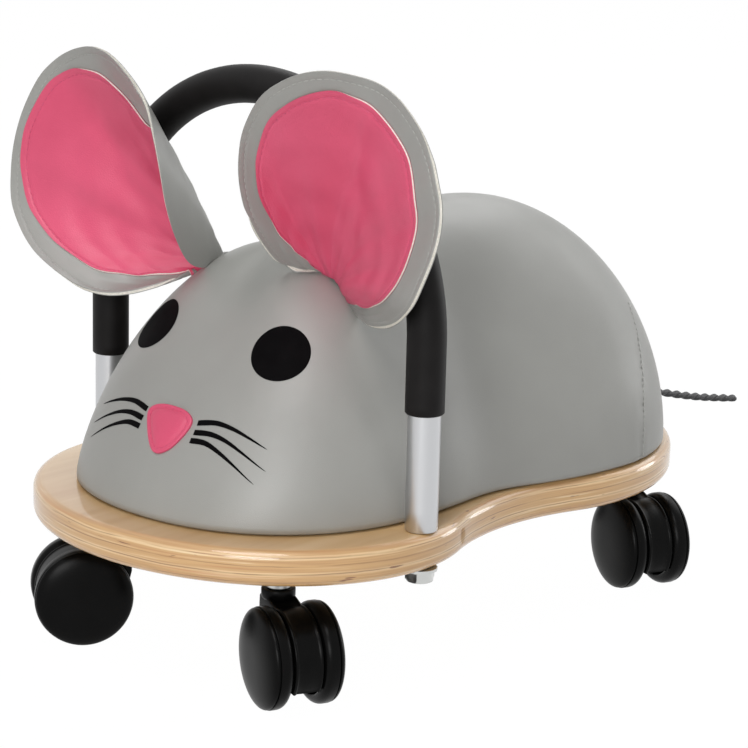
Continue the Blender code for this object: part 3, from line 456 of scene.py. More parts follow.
def twisted_tail(material):
    """The tail, its middle line and its length."""
    line = curve_through(TAIL_ROUTE, np.linspace(0, 1, TAIL_STEPS + 1))
    travelled = np.append(0, np.cumsum(np.linalg.norm(np.diff(line, axis=0), axis=1)))
    left = travelled[-1] - travelled
    closing = np.sqrt(np.maximum(1 - (1 - np.minimum(left / TIP_LENGTH, 1)) ** 2, TIP_LEAST))
    taper = TAPER_LEAST + (1 - TAPER_LEAST) * np.minimum(left / TAPER_LENGTH, 1)
    offset = (TAIL_DIAMETER / 2 - STRAND_RADIUS) * taper * closing
    side = np.array((1.0, 0.0, 0.0))
    over = np.cross(side, along_line(line))
    build = bmesh.new()
    for start_angle in (0, math.pi):
        angle = (math.tau * travelled / LAY_LENGTH + start_angle)[:, None]
        centres = line + (side * np.cos(angle) + over * np.sin(angle)) * offset[:, None]
        rings = round_rings(centres, STRAND_RADIUS * closing, side, over, STRAND_STEPS)
        add_rings(build, rings, caps=(0, -1))
    tail = piece("tail_twisted_cord", build, material)
    return tail, [Vector(point) for point in line], float(travelled[-1])


tail, tail_line, tail_length = twisted_tail(waxed_cotton())
belongs(tail, nodes=["tail_cord"])
print("tail cord", round(tail_length * 1000), "mm long")

# %% [markdown]
# ## The board
#
# Seen from above the board is a peanut: half an ellipse in front, a circle behind, and one waist arc on
# each side that touches both. A router has rounded its two edges to 5 mm. The outline is worked out from
# those sizes and swept through the rounding, row by row, so that the edge is smooth all round.

# %% Work out the board's outline
FRONT_HALF_WIDTH, FRONT_DEPTH = 0.118, 0.101
REAR_RADIUS, LOBE_SPACING, WAIST_RADIUS = 0.115, 0.163, 0.135
EDGE_RADIUS = 0.005
FRONT_Y = FRONT_DEPTH - (FRONT_DEPTH + LOBE_SPACING + REAR_RADIUS) / 2
REAR_Y = FRONT_Y + LOBE_SPACING
REAR_CENTRE = np.array((0, REAR_Y))
BISECTIONS = 50
ARC_STEPS, EDGE_ROWS = 64, 9
FLAT_INSETS = (10 * MM, 25 * MM)


def spokes(angles):
    return np.stack([np.cos(angles), np.sin(angles)], 1)


def arc(centre, half_sizes, angles):
    """Points of an ellipse's arc and their outward directions."""
    return centre + spokes(angles) * half_sizes, unit(spokes(angles) / half_sizes)


def front_arc(angles):
    return arc((0, FRONT_Y), (FRONT_HALF_WIDTH, FRONT_DEPTH), angles)


def angle_of(spoke):
    return math.atan2(spoke[1], spoke[0]) % math.tau


def waist():
    """The front ellipse's angle where the waist starts, and the waist arc's centre."""
    low, high = 0.0, math.pi / 2
    for _ in range(BISECTIONS):
        angle = (low + high) / 2
        point, outward = front_arc(np.array([angle]))
        centre = (point + outward * WAIST_RADIUS)[0]
        if np.linalg.norm(centre - REAR_CENTRE) > REAR_RADIUS + WAIST_RADIUS:
            low = angle
        else:
            high = angle
    return angle, centre


def board_outline():
    """Points round the board with their outward directions."""
    leave, centre = waist()
    meets = REAR_CENTRE + unit(centre - REAR_CENTRE) * REAR_RADIUS
    start = angle_of(front_arc(np.array([leave]))[0][0] - centre)
    end = angle_of(meets - centre)
    first = math.atan2(meets[1] - REAR_Y, meets[0])
    front = front_arc(np.linspace(-math.pi / 2, leave, ARC_STEPS, endpoint=False))
    side, inward = arc(centre, (WAIST_RADIUS,) * 2, np.linspace(start, end, ARC_STEPS // 2, endpoint=False))
    rear = arc(REAR_CENTRE, (REAR_RADIUS,) * 2, np.linspace(first, math.pi / 2, ARC_STEPS + 1))
    both = [np.vstack(rows) for rows in zip(front, (side, -inward), rear)]
    return [np.vstack([half, half[-2:0:-1] * (-1, 1)]) for half in both]


def rounded_board():
    points, outward = board_outline()
    turn = np.linspace(0, math.pi / 2, EDGE_ROWS)
    rows = [(inset, BOARD_BOTTOM) for inset in reversed(FLAT_INSETS)]
    for angles, height in ((turn - math.pi / 2, BOARD_BOTTOM + EDGE_RADIUS), (turn, BOARD_TOP - EDGE_RADIUS)):
        rows += [*zip(EDGE_RADIUS * (1 - np.cos(angles)), height + EDGE_RADIUS * np.sin(angles))]
    rows += [(inset, BOARD_TOP) for inset in FLAT_INSETS]
    rings = []
    for inset, height in rows:
        rings.append(np.column_stack([points - outward * inset, np.full(len(points), height)]))
    return skinned("board_birch_plywood", rings, PLYWOOD, caps=(-1, 0))


board = rounded_board()
belongs(board, nodes=["base_board"])
print("board", len(board.data.polygons), "faces")

# %% [markdown]
# ## The padded body
#
# The cover is drawn over two foam lobes, the head and the seat. Each lobe is an egg shape with its own
# width, depths and height, and a smooth minimum lets one flow into the other at the waist. The face falls
# away more like a cone, so the head's side view has its own power in front. Any point of the skin is found
# by walking out from the inside until the two eggs' value reaches one.

# %% Describe the body's form
HEAD = {"y": FRONT_Y + 0.019, "half_width": 0.099, "front": 0.0993, "back": 0.140, "height": 0.1222,
        "plan": 2.15, "rise": 1.76, "face": 1.23}
SEAT = {"y": REAR_Y + 0.002, "half_width": 0.1135, "front": 0.150, "back": 0.107, "height": 0.1275,
        "plan": 1.9, "rise": 1.97, "face": 1.97}
BLEND = 8.0
SKIN_BISECTIONS = 34


def egg(points, lobe):
    across = np.abs(points[:, 0]) / lobe["half_width"]
    ahead = points[:, 1] < lobe["y"]
    along = np.abs(points[:, 1] - lobe["y"]) / np.where(ahead, lobe["front"], lobe["back"])
    plan = (across ** lobe["plan"] + along ** lobe["plan"]) ** (1 / lobe["plan"])
    frontness = np.where(ahead, along ** 2 / np.maximum(across ** 2 + along ** 2, 1e-12), 0)
    power = lobe["rise"] + (lobe["face"] - lobe["rise"]) * frontness
    return plan ** power + (np.maximum(points[:, 2] - BOARD_TOP, 0) / lobe["height"]) ** power


def body_level(points):
    return -np.log(np.exp(-BLEND * egg(points, HEAD)) + np.exp(-BLEND * egg(points, SEAT))) / BLEND


def skin_points(starts, direction, reach=0.3):
    """Where rays from inside the body meet its skin; the rays may share one direction."""
    starts = np.asarray(starts, float)
    directions = np.broadcast_to(direction, starts.shape)
    low, high = np.zeros(len(starts)), np.full(len(starts), reach)
    for _ in range(SKIN_BISECTIONS):
        middle = (low + high) / 2
        outside = body_level(starts + directions * middle[:, None]) > 1
        high = np.where(outside, middle, high)
        low = np.where(outside, low, middle)
    return starts + directions * low[:, None]


def skin_normals(points, step=0.0004):
    """Outward directions of the skin, from how its value grows."""
    slopes = [body_level(points + axis) - body_level(points - axis) for axis in np.eye(3) * step]
    return unit(np.stack(slopes, 1) / step)


def level_normals(points):
    return skin_normals(points) * (1, 1, 0)


def lifted(points, lift):
    return points + skin_normals(points) * lift


def front_points(flat):
    """Points of the face given by how they look from straight ahead, as (x, z)."""
    flat = np.asarray(flat, float)
    starts = np.column_stack([flat[:, 0], np.full(len(flat), HEAD["y"]), flat[:, 1]])
    return skin_points(starts, (0, -1, 0))


print("top of the head", np.round(skin_points([(0, HEAD["y"], BOARD_TOP)], (0, 0, 1))[0], 3))

# %% [markdown]
# ## The cover
#
# The skin is a grid: columns stand round the body and rows climb from the board to the ridge. The lowest
# rows turn in over a 3 mm radius and run on under the foam as a flat hem. Two seams on the seat's sides let
# in a back panel, and each seam pulls the skin into a shallow groove with a faint pucker.

# %% Skin the body
COVER_FAN, COVER_SIDE, COVER_RISE = 44, 20, 46
ROW_SPACING = 1.15
COVER_THICKNESS = 1.2 * MM
HEM_TUCK, HEM_WIDTH = 3 * MM, 9 * MM
ON_BOARD = BOARD_TOP + 0.3 * MM
SEAM_WIDTH, SEAM_DEPTH = 1.3 * MM, 0.7 * MM
SEAM_FOOT_Y, SEAM_LEAN = 0.0880, 4.6
SEAM_FADES, SEAM_FADE_LENGTH = 0.165, 0.03
SWELL_HEIGHT, SWELL_PLACE, SWELL_WIDTH = 0.25 * MM, 4 * MM, 2.5 * MM
PUCKER_SHARE, PUCKER_LENGTH = 0.35, 5.5 * MM


def hill(value, place, width):
    """A bell curve of height one."""
    return np.exp(-((value - place) / width) ** 2)


def seam_y(heights):
    """Where the side seams run: they climb the seat's sides and lean back."""
    return SEAM_FOOT_Y + SEAM_LEAN * np.clip(heights - BOARD_TOP, 0, None) ** 2


def cover_columns():
    """For each column round the body, its start along the middle and its direction."""
    quarter = np.linspace(0, math.pi / 2, COVER_FAN + 1)
    columns = [(HEAD["y"], angle) for angle in quarter - math.pi / 2]
    columns += [(y, 0.0) for y in np.linspace(HEAD["y"], SEAT["y"], COVER_SIDE + 1)[1:-1]]
    columns += [(SEAT["y"], angle) for angle in quarter]
    return np.array(columns + [(y, math.pi - angle) for y, angle in reversed(columns[1:-1])])


def sewn(points):
    """Presses the side seams into the skin."""
    distance = points[:, 1] - seam_y(points[:, 2])
    pucker = 1 + PUCKER_SHARE * np.sin(points[:, 2] / PUCKER_LENGTH)
    fade = np.clip((SEAM_FADES - points[:, 2]) / SEAM_FADE_LENGTH, 0, 1)
    swell = SWELL_HEIGHT * hill(np.abs(distance), SWELL_PLACE, SWELL_WIDTH) * pucker
    return lifted(points, ((swell - SEAM_DEPTH * hill(distance, 0, SEAM_WIDTH)) * fade)[:, None])


def cover_rings():
    """Rings of the cover, from the hem under the foam up to the ridge."""
    middle, angles = cover_columns().T
    starts = np.column_stack([0 * middle, middle, np.full(len(middle), BOARD_TOP)])
    rings = []
    for row in range(COVER_RISE + 1):
        elevation = (row / COVER_RISE) ** ROW_SPACING * math.pi / 2
        rise = np.full(len(angles), math.sin(elevation))
        points = skin_points(starts, np.column_stack([spokes(angles) * math.cos(elevation), rise]))
        if row < COVER_RISE:
            points = sewn(points)
        share = np.clip(1 - (points[:, 2] - BOARD_TOP) / HEM_TUCK, 0, 1)
        inset = HEM_TUCK * (1 - np.sqrt(1 - share ** 2))
        rings.append(points - level_normals(points) * inset[:, None])
    rings.insert(0, rings[0] - level_normals(rings[0]) * HEM_WIDTH)
    for points in rings[:2]:
        points[:, 2] = ON_BOARD
    return rings


cover = skinned("cover_grey_leatherette", cover_rings(), GREY_LEATHERETTE)
thickness = cover.modifiers.new("leatherette thickness", "SOLIDIFY")
thickness.thickness = COVER_THICKNESS
thickness.offset = -1
apply_modifiers(cover)
belongs(cover, nodes=["body_cover", "head_padding", "seat_padding"])
print("cover", len(cover.data.polygons), "faces")

# %% [markdown]
# ## Eyes and whiskers
#
# The eyes and whiskers are printed on the leatherette. Each print is a patch that follows the skin a tenth
# of a millimetre above it. An eye is a disc laid on the skin's own slope. A whisker is a curved stroke,
# blunt at the nose and drawn out to a point, given by a few places along its middle.

# %% Print the eyes
EYE_RADIUS = 14.8 * MM
EYE_CENTRE = (42.5 * MM, 164.5 * MM)
EYE_RINGS = np.array((0.02, 0.25, 0.5, 0.75, 1.0))
EYE_STEPS = 56
EYE_START = 12 * MM
EYE_REACH = 0.05
PRINT_LIFT = 0.12 * MM


def printed_eye(name, side):
    centre = front_points([(side * EYE_CENTRE[0], EYE_CENTRE[1])])
    normal = skin_normals(centre)[0]
    across = unit(np.cross((0, 0, 1), normal))
    centres = np.repeat(centre - normal * EYE_START, len(EYE_RINGS), 0)
    discs = round_rings(centres, EYE_RADIUS * EYE_RINGS, across, np.cross(normal, across), EYE_STEPS)
    rings = [lifted(skin_points(disc, normal, EYE_REACH), PRINT_LIFT) for disc in discs]
    return skinned(f"printed_eye_{name}", rings, INK, caps=[0])


for name, side in SIDES.items():
    belongs(printed_eye(name, side))
print("eyes printed", round(EYE_RADIUS * 2000, 1), "mm across")

# %% Print the whiskers
WHISKERS = (
    ((17.5, 130.4), (28.0, 132.0), (38.0, 130.8), (48.0, 127.7), (57.0, 123.9)),
    ((17.8, 126.3), (27.5, 127.0), (37.0, 125.3), (48.0, 120.8), (60.0, 114.3)),
    ((17.6, 122.7), (26.5, 122.9), (35.5, 120.2), (45.5, 115.4), (57.0, 108.3)),
)
WHISKER_WIDTH = 2.7 * MM
WHISKER_STEPS = 40
ACROSS_STROKE = (-0.5, -0.17, 0.17, 0.5)


def printed_whiskers(name, side):
    build = bmesh.new()
    shares = np.linspace(0, 1, WHISKER_STEPS + 1)
    widths = WHISKER_WIDTH * (1 - shares) ** 0.75 * np.minimum(1, 0.85 + shares * 4 / 3)
    for places in WHISKERS:
        line = curve_through(places, shares) * MM
        across = along_line(line)[:, ::-1] * (-1, 1) * widths[:, None]
        rows = []
        for spot, way in zip(line, across):
            flat = (spot + np.outer(ACROSS_STROKE, way)) * (side, 1)
            rows.append(lifted(front_points(flat), PRINT_LIFT))
        add_rings(build, rows, closed=False)
    return piece(f"printed_whiskers_{name}", build, INK)


for name, side in SIDES.items():
    belongs(printed_whiskers(name, side))
print("whiskers printed:", len(WHISKERS), "on each side")

# %% [markdown]
# ## The nose
#
# The nose is a patch of pink leatherette, a triangle with round corners that points down. It is sewn on
# over a little padding, so its middle stands proud and a line of stitches runs a few millimetres inside
# its edge.

# %% Sew on the nose
NOSE_CORNERS = ((-15.2, 129.0), (-13.2, 132.6), (-7.0, 134.3), (1.0, 134.5), (8.0, 133.9), (13.4, 131.6),
                (14.6, 128.0), (12.0, 122.0), (7.5, 116.6), (1.5, 113.9), (-3.5, 115.4), (-9.5, 121.0))
NOSE_HEIGHT = 2.6 * MM
NOSE_STEPS = 72
NOSE_OUTLINE = curve_through(NOSE_CORNERS, np.arange(NOSE_STEPS) / NOSE_STEPS, closed=True) * MM
NOSE_MIDDLE = NOSE_OUTLINE.mean(0)
NOSE_PROFILE = ((1.0, 0.02), (1.0, 0.42), (0.985, 0.5), (0.94, 0.56), (0.87, 0.60), (0.83, 0.50),
                (0.80, 0.52), (0.74, 0.70), (0.6, 0.86), (0.4, 0.96), (0.2, 1.0), (0.02, 1.0))
NOSE_STITCHES = (0.84, 0.52)


def nose_ring(share, lift):
    """Points round the nose at a share of its outline, lifted by a share of its height."""
    return lifted(front_points(NOSE_MIDDLE + (NOSE_OUTLINE - NOSE_MIDDLE) * share), NOSE_HEIGHT * lift)


nose_rings = [nose_ring(share, lift) for share, lift in NOSE_PROFILE]
nose = skinned("nose_pink_leatherette", nose_rings, PINK_LEATHERETTE, caps=[-1])
belongs(nose, nodes=["nose_patch"])
print("nose patch", len(nose.data.polygons), "faces")

# %% [markdown]
# ## The ears
#
# Each ear is a round disc of doubled leatherette, pinched at its foot into a seam only 13 mm long, so both
# lower lobes curl forward and the ear becomes a scoop. Its free edge, the rim, is a smooth curve given by
# places round the ear, from the seam's inner end over the top to its outer end. The skin fans out from the
# seam to that edge and leans forward early, which keeps it clear of the hoop. Its foot is sunk a little
# into the head, so that no gap shows behind.
#
# The pink lining is a smaller sheet sewn on inside. Its table gives how far it reaches toward the rim, place
# by place. Two more tables slant the raw edges of shell and lining, so that the cream knit shows in front
# where the number is above zero and hides where it is below. All places are in millimetres.

# %% Describe the ears
EARS = {
    "left": {
        "seam": ((33.0, -69.0), (46.0, -67.5)),
        "rim": ((33, -69, 197), (27.5, -81, 198), (24, -87, 201), (23, -96, 205), (25, -109.5, 217),
                (26, -119, 229), (26.5, -124.5, 241), (27.5, -127.5, 254), (30, -128.5, 268),
                (35, -128.5, 279), (43, -129, 289), (54, -129, 296.5), (66, -127, 302), (77, -121.5, 304),
                (88, -115, 302.5), (99, -111.5, 300), (111, -112.5, 295.5), (121, -113.5, 288.5),
                (129, -113.5, 279.5), (135, -114.5, 270.5), (140, -116.5, 261), (143, -117, 251),
                (144, -118.5, 240), (141.5, -119.5, 228), (135, -118.5, 215), (126, -114.5, 203),
                (114, -107.5, 194), (99.5, -98.5, 187), (84, -90, 182), (69.5, -82, 179.5),
                (57, -75.5, 180.5), (50, -71.5, 184), (46, -67.5, 187.5)),
        "lining": ((0.0, 0.16), (0.12, 0.19), (0.14, 0.38), (0.16, 0.63), (0.18, 0.72), (0.21, 0.80),
                   (0.25, 0.85), (0.31, 0.88), (0.36, 0.90), (0.42, 0.93), (0.45, 0.915), (0.50, 0.89),
                   (0.56, 0.88), (0.61, 0.845), (0.67, 0.81), (0.75, 0.74), (0.78, 0.67), (0.81, 0.57),
                   (0.83, 0.45), (0.86, 0.30), (0.92, 0.28), (0.95, 0.12), (1.0, 0.1)),
        "shell_slant": ((0.0, 1.2), (0.02, 2.2), (0.08, 2.4), (0.11, 1.6), (0.14, 1.0), (0.17, -0.9),
                        (0.55, -0.9), (0.60, 0.5), (0.80, 0.8), (0.86, 2.3), (0.96, 2.3), (0.98, 1.2),
                        (1.0, 0.6)),
        "lining_slant": ((0.0, 0.4), (0.16, 0.5), (0.20, -0.5), (0.42, -0.5), (0.46, 0.6), (0.93, 0.9),
                         (0.96, -0.3), (1.0, -0.3)),
        "belly": 0.0,
    },
    "right": {
        "seam": ((35.0, -73.5), (47.0, -70.0)),
        "rim": ((35, -73.5, 194.9), (34.5, -86.5, 191.6), (33.5, -100, 196), (30, -112.5, 210),
                (27.5, -121.5, 227), (27, -126.5, 246), (29, -128.5, 260.5), (33.5, -129.5, 275.5),
                (40.5, -129.5, 284), (51, -127.5, 290.5), (63.5, -123.5, 295), (78.5, -117.5, 297),
                (94, -112.5, 296.5), (109.5, -110, 292.5), (122, -109.5, 286), (131.5, -111.5, 276.5),
                (139.5, -114.5, 260.5), (144, -116.5, 245), (146, -117.5, 229), (143.5, -119.5, 212),
                (134, -121.5, 199), (122.5, -122.5, 189.5), (108.5, -121.5, 181.5), (95, -118.5, 175.5),
                (81, -114.5, 173.5), (67, -110, 175.5), (57, -103.5, 179), (51.5, -95.5, 182),
                (49, -86, 185), (47, -70, 188)),
        "lining": ((0.0, 0.5), (0.10, 0.72), (0.20, 0.80), (0.28, 0.76), (0.31, 0.73), (0.345, 0.78),
                   (0.38, 0.82), (0.41, 0.875), (0.45, 0.93), (0.50, 0.95), (0.57, 0.965), (0.61, 0.95),
                   (0.65, 0.91), (0.69, 0.85), (0.74, 0.775), (0.76, 0.73), (0.775, 0.62), (0.795, 0.45),
                   (0.82, 0.36), (0.88, 0.33), (0.91, 0.35), (0.93, 0.42), (0.95, 0.53), (0.97, 0.72),
                   (1.0, 0.6)),
        "shell_slant": ((0.0, 0.2), (0.05, 1.5), (0.20, 1.5), (0.25, 0.9), (0.28, -1.0), (0.72, -1.0),
                        (0.80, 0.6), (0.95, 0.6), (1.0, 0.2)),
        "lining_slant": ((0.0, -0.3), (0.30, -0.3), (0.34, 0.7), (0.42, 0.7), (0.46, -0.6), (0.70, -0.6),
                         (0.76, 0.7), (0.97, 0.7), (1.0, 0.3)),
        "belly": 5.0,
    },
}
FOOT_DEPTH = 0.8 * MM
HEAD_CLEARANCE, CLEARANCE_SLOPE = 0.7 * MM, 50 * MM
NORMAL_STEP = 0.004
SMOOTHING_SHIFTS = (-0.008, -0.004, 0, 0.004, 0.008)
RAGGED_BY = 0.004


def top_of_skin(points):
    """How high the skin stands at each point's x and y."""
    starts = np.column_stack([points[:, :2], np.full(len(points), BOARD_TOP)])
    return skin_points(starts, (0, 0, 1))[:, 2]


def ear_surface(ear, around, along):
    """The ear's middle surface: around runs along the rim, along from the seam out to it."""
    rim = curve_through(ear["rim"], around) * MM
    seam = np.asarray(ear["seam"]) * MM
    foot = seam[0] + (seam[1] - seam[0]) * around[:, None]
    foot = np.column_stack([foot, top_of_skin(foot) - FOOT_DEPTH])
    lean = 0.98 - 0.28 * np.clip((around - 0.12) / 0.4, 0, 1)
    points = foot + (rim - foot) * along[:, None]
    points[:, 1] = foot[:, 1] + (rim[:, 1] - foot[:, 1]) * along ** lean
    sag = 2.2 * np.sin(np.pi * 3 * around + 0.6)
    creases = 1.5 * hill(around + 0.22 * along, 0.62, 0.035) + 1.1 * hill(around - 0.14 * along, 0.40, 0.03)
    crumple = 0.8 * np.sin(math.tau * (7 * around + 2 * along))
    crumple *= np.sin(math.tau * (3 * along - 4 * around) + 2.0)
    belly = ear["belly"] * hill(around, 0.17, 0.14)
    gathers = 0.06 * hill(along, 0.09, 0.07) * np.sin(math.tau * 13 * around)
    points[:, 1] += ((sag + creases + crumple + belly) * np.sin(np.pi * along) + gathers) * MM
    return points


def ear_grid(ear, around, along):
    """The surface and its back-facing normals on a grid; along may differ from row to row."""
    rows, columns = along.shape
    around = np.repeat(around, columns)
    along = along.ravel()
    points = ear_surface(ear, around, along)
    across = (ear_surface(ear, np.minimum(around + NORMAL_STEP, 1), along)
              - ear_surface(ear, np.maximum(around - NORMAL_STEP, 0), along))
    upward = (ear_surface(ear, around, np.minimum(along + NORMAL_STEP, 1))
              - ear_surface(ear, around, np.maximum(along - NORMAL_STEP, 0.001)))
    normals = np.cross(upward, across)
    normals /= np.linalg.norm(normals, axis=1)[:, None]
    clearance = np.minimum(HEAD_CLEARANCE, along * CLEARANCE_SLOPE - FOOT_DEPTH)
    points[:, 2] = np.maximum(points[:, 2], top_of_skin(points) + clearance)
    return points.reshape(rows, columns, 3), normals.reshape(rows, columns, 3)


def lining_reach(ear, around):
    """How far along each ray the lining reaches, drawn smooth, and ragged where it hangs over the lobe."""
    places, shares = np.array(ear["lining"]).T
    reach = np.mean([np.interp(around + shift, places, shares) for shift in SMOOTHING_SHIFTS], 0)
    return reach + RAGGED_BY * np.sin(410 * around) * hill(around, 0.86, 0.05)


print("ears described:", ", ".join(EARS))

# %% Sew the ears
EAR_AROUND, EAR_ALONG = 180, 22
EDGE_STEPS = (9.0, 6.5, 5.0, 4.1, 3.5, 2.9, 2.0, 1.0, 0.3, 0.0)
EDGE_BLUR = 15
FULL_EDGE_FROM, LEAST_LENGTH = 25 * MM, 1 * MM
EDGE_BULGES = ((0.24, 0.12), (0.46, 0.08), (0.5, -0.12), (0.54, 0.08), (0.76, 0.12))
SHELL_HALF, LINING_THICKNESS, LINING_GAP = 1.0 * MM, 0.9 * MM, 0.2 * MM
LINING_START, LINING_ENDS = 0.03, (0.035, 0.97)
STITCH_COLUMN = EAR_ALONG + EDGE_STEPS.index(3.5)
STITCH_LINE = 3.5 * MM
GROOVE_DEPTH, GROOVE_WIDTH = 0.3 * MM, 0.8 * MM


def sheet_of(name, front, back, material):
    """A closed sheet from its two faces. Its cut edge shows skin, knit, a groove, knit and skin again."""
    build = bmesh.new()
    faces = [[[build.verts.new(point) for point in row] for row in grid] for grid in (front, back)]
    rows, columns = front.shape[:2]
    for grid in faces:
        for i in range(rows - 1):
            for j in range(columns - 1):
                build.faces.new((grid[i][j], grid[i][j + 1], grid[i + 1][j + 1], grid[i + 1][j]))
    border = [(0, j) for j in range(columns)] + [(i, columns - 1) for i in range(1, rows)]
    border += [(rows - 1, j) for j in range(columns - 2, -1, -1)] + [(i, 0) for i in range(rows - 2, 0, -1)]
    across = []
    for i, j in border:
        inner = (min(max(i, 1), rows - 2), min(max(j, 1), columns - 2))
        outward = unit(front[i, j] - front[inner])
        way = back[i, j] - front[i, j]
        line = [faces[0][i][j]]
        for share, bulge in EDGE_BULGES:
            line.append(build.verts.new(front[i, j] + way * share + outward * np.linalg.norm(way) * bulge))
        across.append(line + [faces[1][i][j]])
    for line, following in zip(across, across[1:] + across[:1]):
        for strip, corners in enumerate(zip(line, line[1:], following[1:], following)):
            build.faces.new(corners).material_index = int(0 < strip < len(EDGE_BULGES))
    return piece(name, build, material, CUT_EDGE, flat_angle=60)


def surface_area(grid):
    diagonal = grid[1:, 1:] - grid[:-1, :-1]
    halves = (np.cross(side - grid[:-1, :-1], diagonal) for side in (grid[:-1, 1:], grid[1:, :-1]))
    return sum(np.linalg.norm(half, axis=2).sum() for half in halves) / 2


def edge_spaced(ear, around, reach, start):
    """Shares along each ray: even from its start, then close together at set distances from the cut edge."""
    length = np.linalg.norm(ear_surface(ear, around, reach) - ear_surface(ear, around, 0 * reach), axis=1)
    scale = np.clip(length / FULL_EDGE_FROM, 0.01, 1)
    near = np.array(EDGE_STEPS) * MM * scale[:, None] / np.maximum(length, LEAST_LENGTH)[:, None]
    even = np.linspace(0, 1, EAR_ALONG, endpoint=False) * (1 - near[:, :1])
    low = np.minimum(start, reach * 0.3)[:, None]
    shares = np.column_stack([even, 1 - near])
    return low + (reach[:, None] - low) * shares, (1 - shares) * length[:, None], scale


def grooved(distance, scale):
    """How deep the thread pulls the sheet in, at a distance from its edge."""
    return (GROOVE_DEPTH * hill(distance, STITCH_LINE, GROOVE_WIDTH) * (scale[:, None] >= 1))[:, :, None]


def slanted(front, back, around, table):
    """Cuts the free edge at a slant, by the table's millimetres."""
    slant = np.interp(around, *np.array(table).T)[:, None] * MM
    outward = front[:, -1] - front[:, -2]
    edge_way = unit(np.gradient(front[:, -1], axis=0))
    outward -= edge_way * (outward * edge_way).sum(1)[:, None]
    outward = unit(np.stack([np.convolve(part, np.ones(EDGE_BLUR), "same") for part in outward.T], 1))
    back[:, -1] += outward * np.maximum(slant, 0)
    front[:, -1] += outward * np.maximum(-slant, 0)


def sew_ear(name, ear):
    """Makes an ear's shell and lining; returns the lines of their stitches."""
    flip = (SIDES[name], 1, 1)
    around = np.linspace(0, 1, EAR_AROUND + 1)
    along, distance, scale = edge_spaced(ear, around, np.ones(len(around)), 0.0)
    points, normals = ear_grid(ear, around, along)
    thinned = normals * SHELL_HALF * (0.5 + 0.5 * scale)[:, None, None]
    front, back = points - thinned, points + thinned
    front += normals * grooved(distance, scale) * 0.6
    slanted(front, back, around, ear["shell_slant"])
    inner = np.linspace(*LINING_ENDS, EAR_AROUND + 1)
    along, distance, scale = edge_spaced(ear, inner, lining_reach(ear, inner), LINING_START)
    points, normals = ear_grid(ear, inner, along)
    inside = points - normals * (SHELL_HALF + LINING_GAP)
    face = inside - normals * LINING_THICKNESS + normals * grooved(distance, scale)
    slanted(face, inside, inner, ear["lining_slant"])
    for part, node, sides, seen, material, slot in (
        ("shell", f"ear_{name}", (front, back), front, GREY_LEATHERETTE, "grey_leatherette"),
        ("lining", f"ear_lining_{name}", (inside, face), face, PINK_LEATHERETTE, "pink_leatherette"),
    ):
        made = sheet_of(f"ear_{part}_{name}_leatherette", *(grid * flip for grid in sides), material)
        belongs(made, nodes=[node])
        area = surface_area(seen)
        print(made.name, "flat area", round(area * 1e4), "square cm")
    return face[scale >= 1, STITCH_COLUMN] * flip, front[3:-3, STITCH_COLUMN] * flip


EAR_STITCHES = {name: sew_ear(name, ear) for name, ear in EARS.items()}

# %% [markdown]
# ## The stitches
#
# Cover, nose and ears are machine sewn. Geometry Nodes lays the thread: every line of points becomes a
# curve, the curve is divided at the stitch's pitch, and a short rounded stitch lies along it at each
# division.


# %% Build the row of stitches
def stitch_tree():
    """The node tree and the identifiers of its inputs."""
    tree = bpy.data.node_groups.new("row_of_stitches", "GeometryNodeTree")
    sockets = tree.interface
    sockets.new_socket("Line", in_out="INPUT", socket_type="NodeSocketGeometry")
    keys = {}
    for label in ("Pitch", "Stitch Length", "Thread Radius", "Thread"):
        kind = "NodeSocketMaterial" if label == "Thread" else "NodeSocketFloat"
        keys[label] = sockets.new_socket(label, in_out="INPUT", socket_type=kind).identifier
    sockets.new_socket("Stitches", in_out="OUTPUT", socket_type="NodeSocketGeometry")
    given = tree.nodes.new("NodeGroupInput").outputs
    radius = given["Thread Radius"]
    half = add(tree, "ShaderNodeMath", {0: given["Stitch Length"], 1: 0.5}, operation="MULTIPLY")
    curve = add(tree, "GeometryNodeMeshToCurve", {"Mesh": given["Line"]})
    spaced = add(tree, "GeometryNodeResampleCurve", {"Curve": curve, "Length": given["Pitch"]}, mode="LENGTH")
    ahead = add(tree, "GeometryNodeInputTangent")
    turned = add(tree, "FunctionNodeAlignRotationToVector", {"Vector": ahead}, axis="Z")
    size = add(tree, "ShaderNodeCombineXYZ", {0: radius, 1: radius, 2: half})
    bead = add(tree, "GeometryNodeMeshUVSphere", {"Segments": 8, "Rings": 6, "Radius": 1.0})
    laid = {"Points": spaced, "Instance": bead, "Rotation": turned, "Scale": size}
    real = add(tree, "GeometryNodeRealizeInstances", {0: add(tree, "GeometryNodeInstanceOnPoints", laid)})
    smooth = add(tree, "GeometryNodeSetShadeSmooth", {0: real})
    dressed = add(tree, "GeometryNodeSetMaterial", {0: smooth, "Material": given["Thread"]})
    tree.links.new(dressed, tree.nodes.new("NodeGroupOutput").inputs[0])
    return tree, keys


STITCHES, STITCH_KEYS = stitch_tree()
PINK_THREAD = speckled("polyester_thread_pink", "c5486b", "d25a7c", 0.55, 0.3, 0.05 * MM)
GREY_THREAD = speckled("polyester_thread_grey", "a2a29e", "acaca8", 0.55, 0.3, 0.05 * MM)
SEAM_TOP, SEAM_STITCHES_START, SEAM_STITCHES_BEHIND = 0.160, 4 * MM, 2.2 * MM
SEAM_STITCHES_LIFT = 0.15 * MM


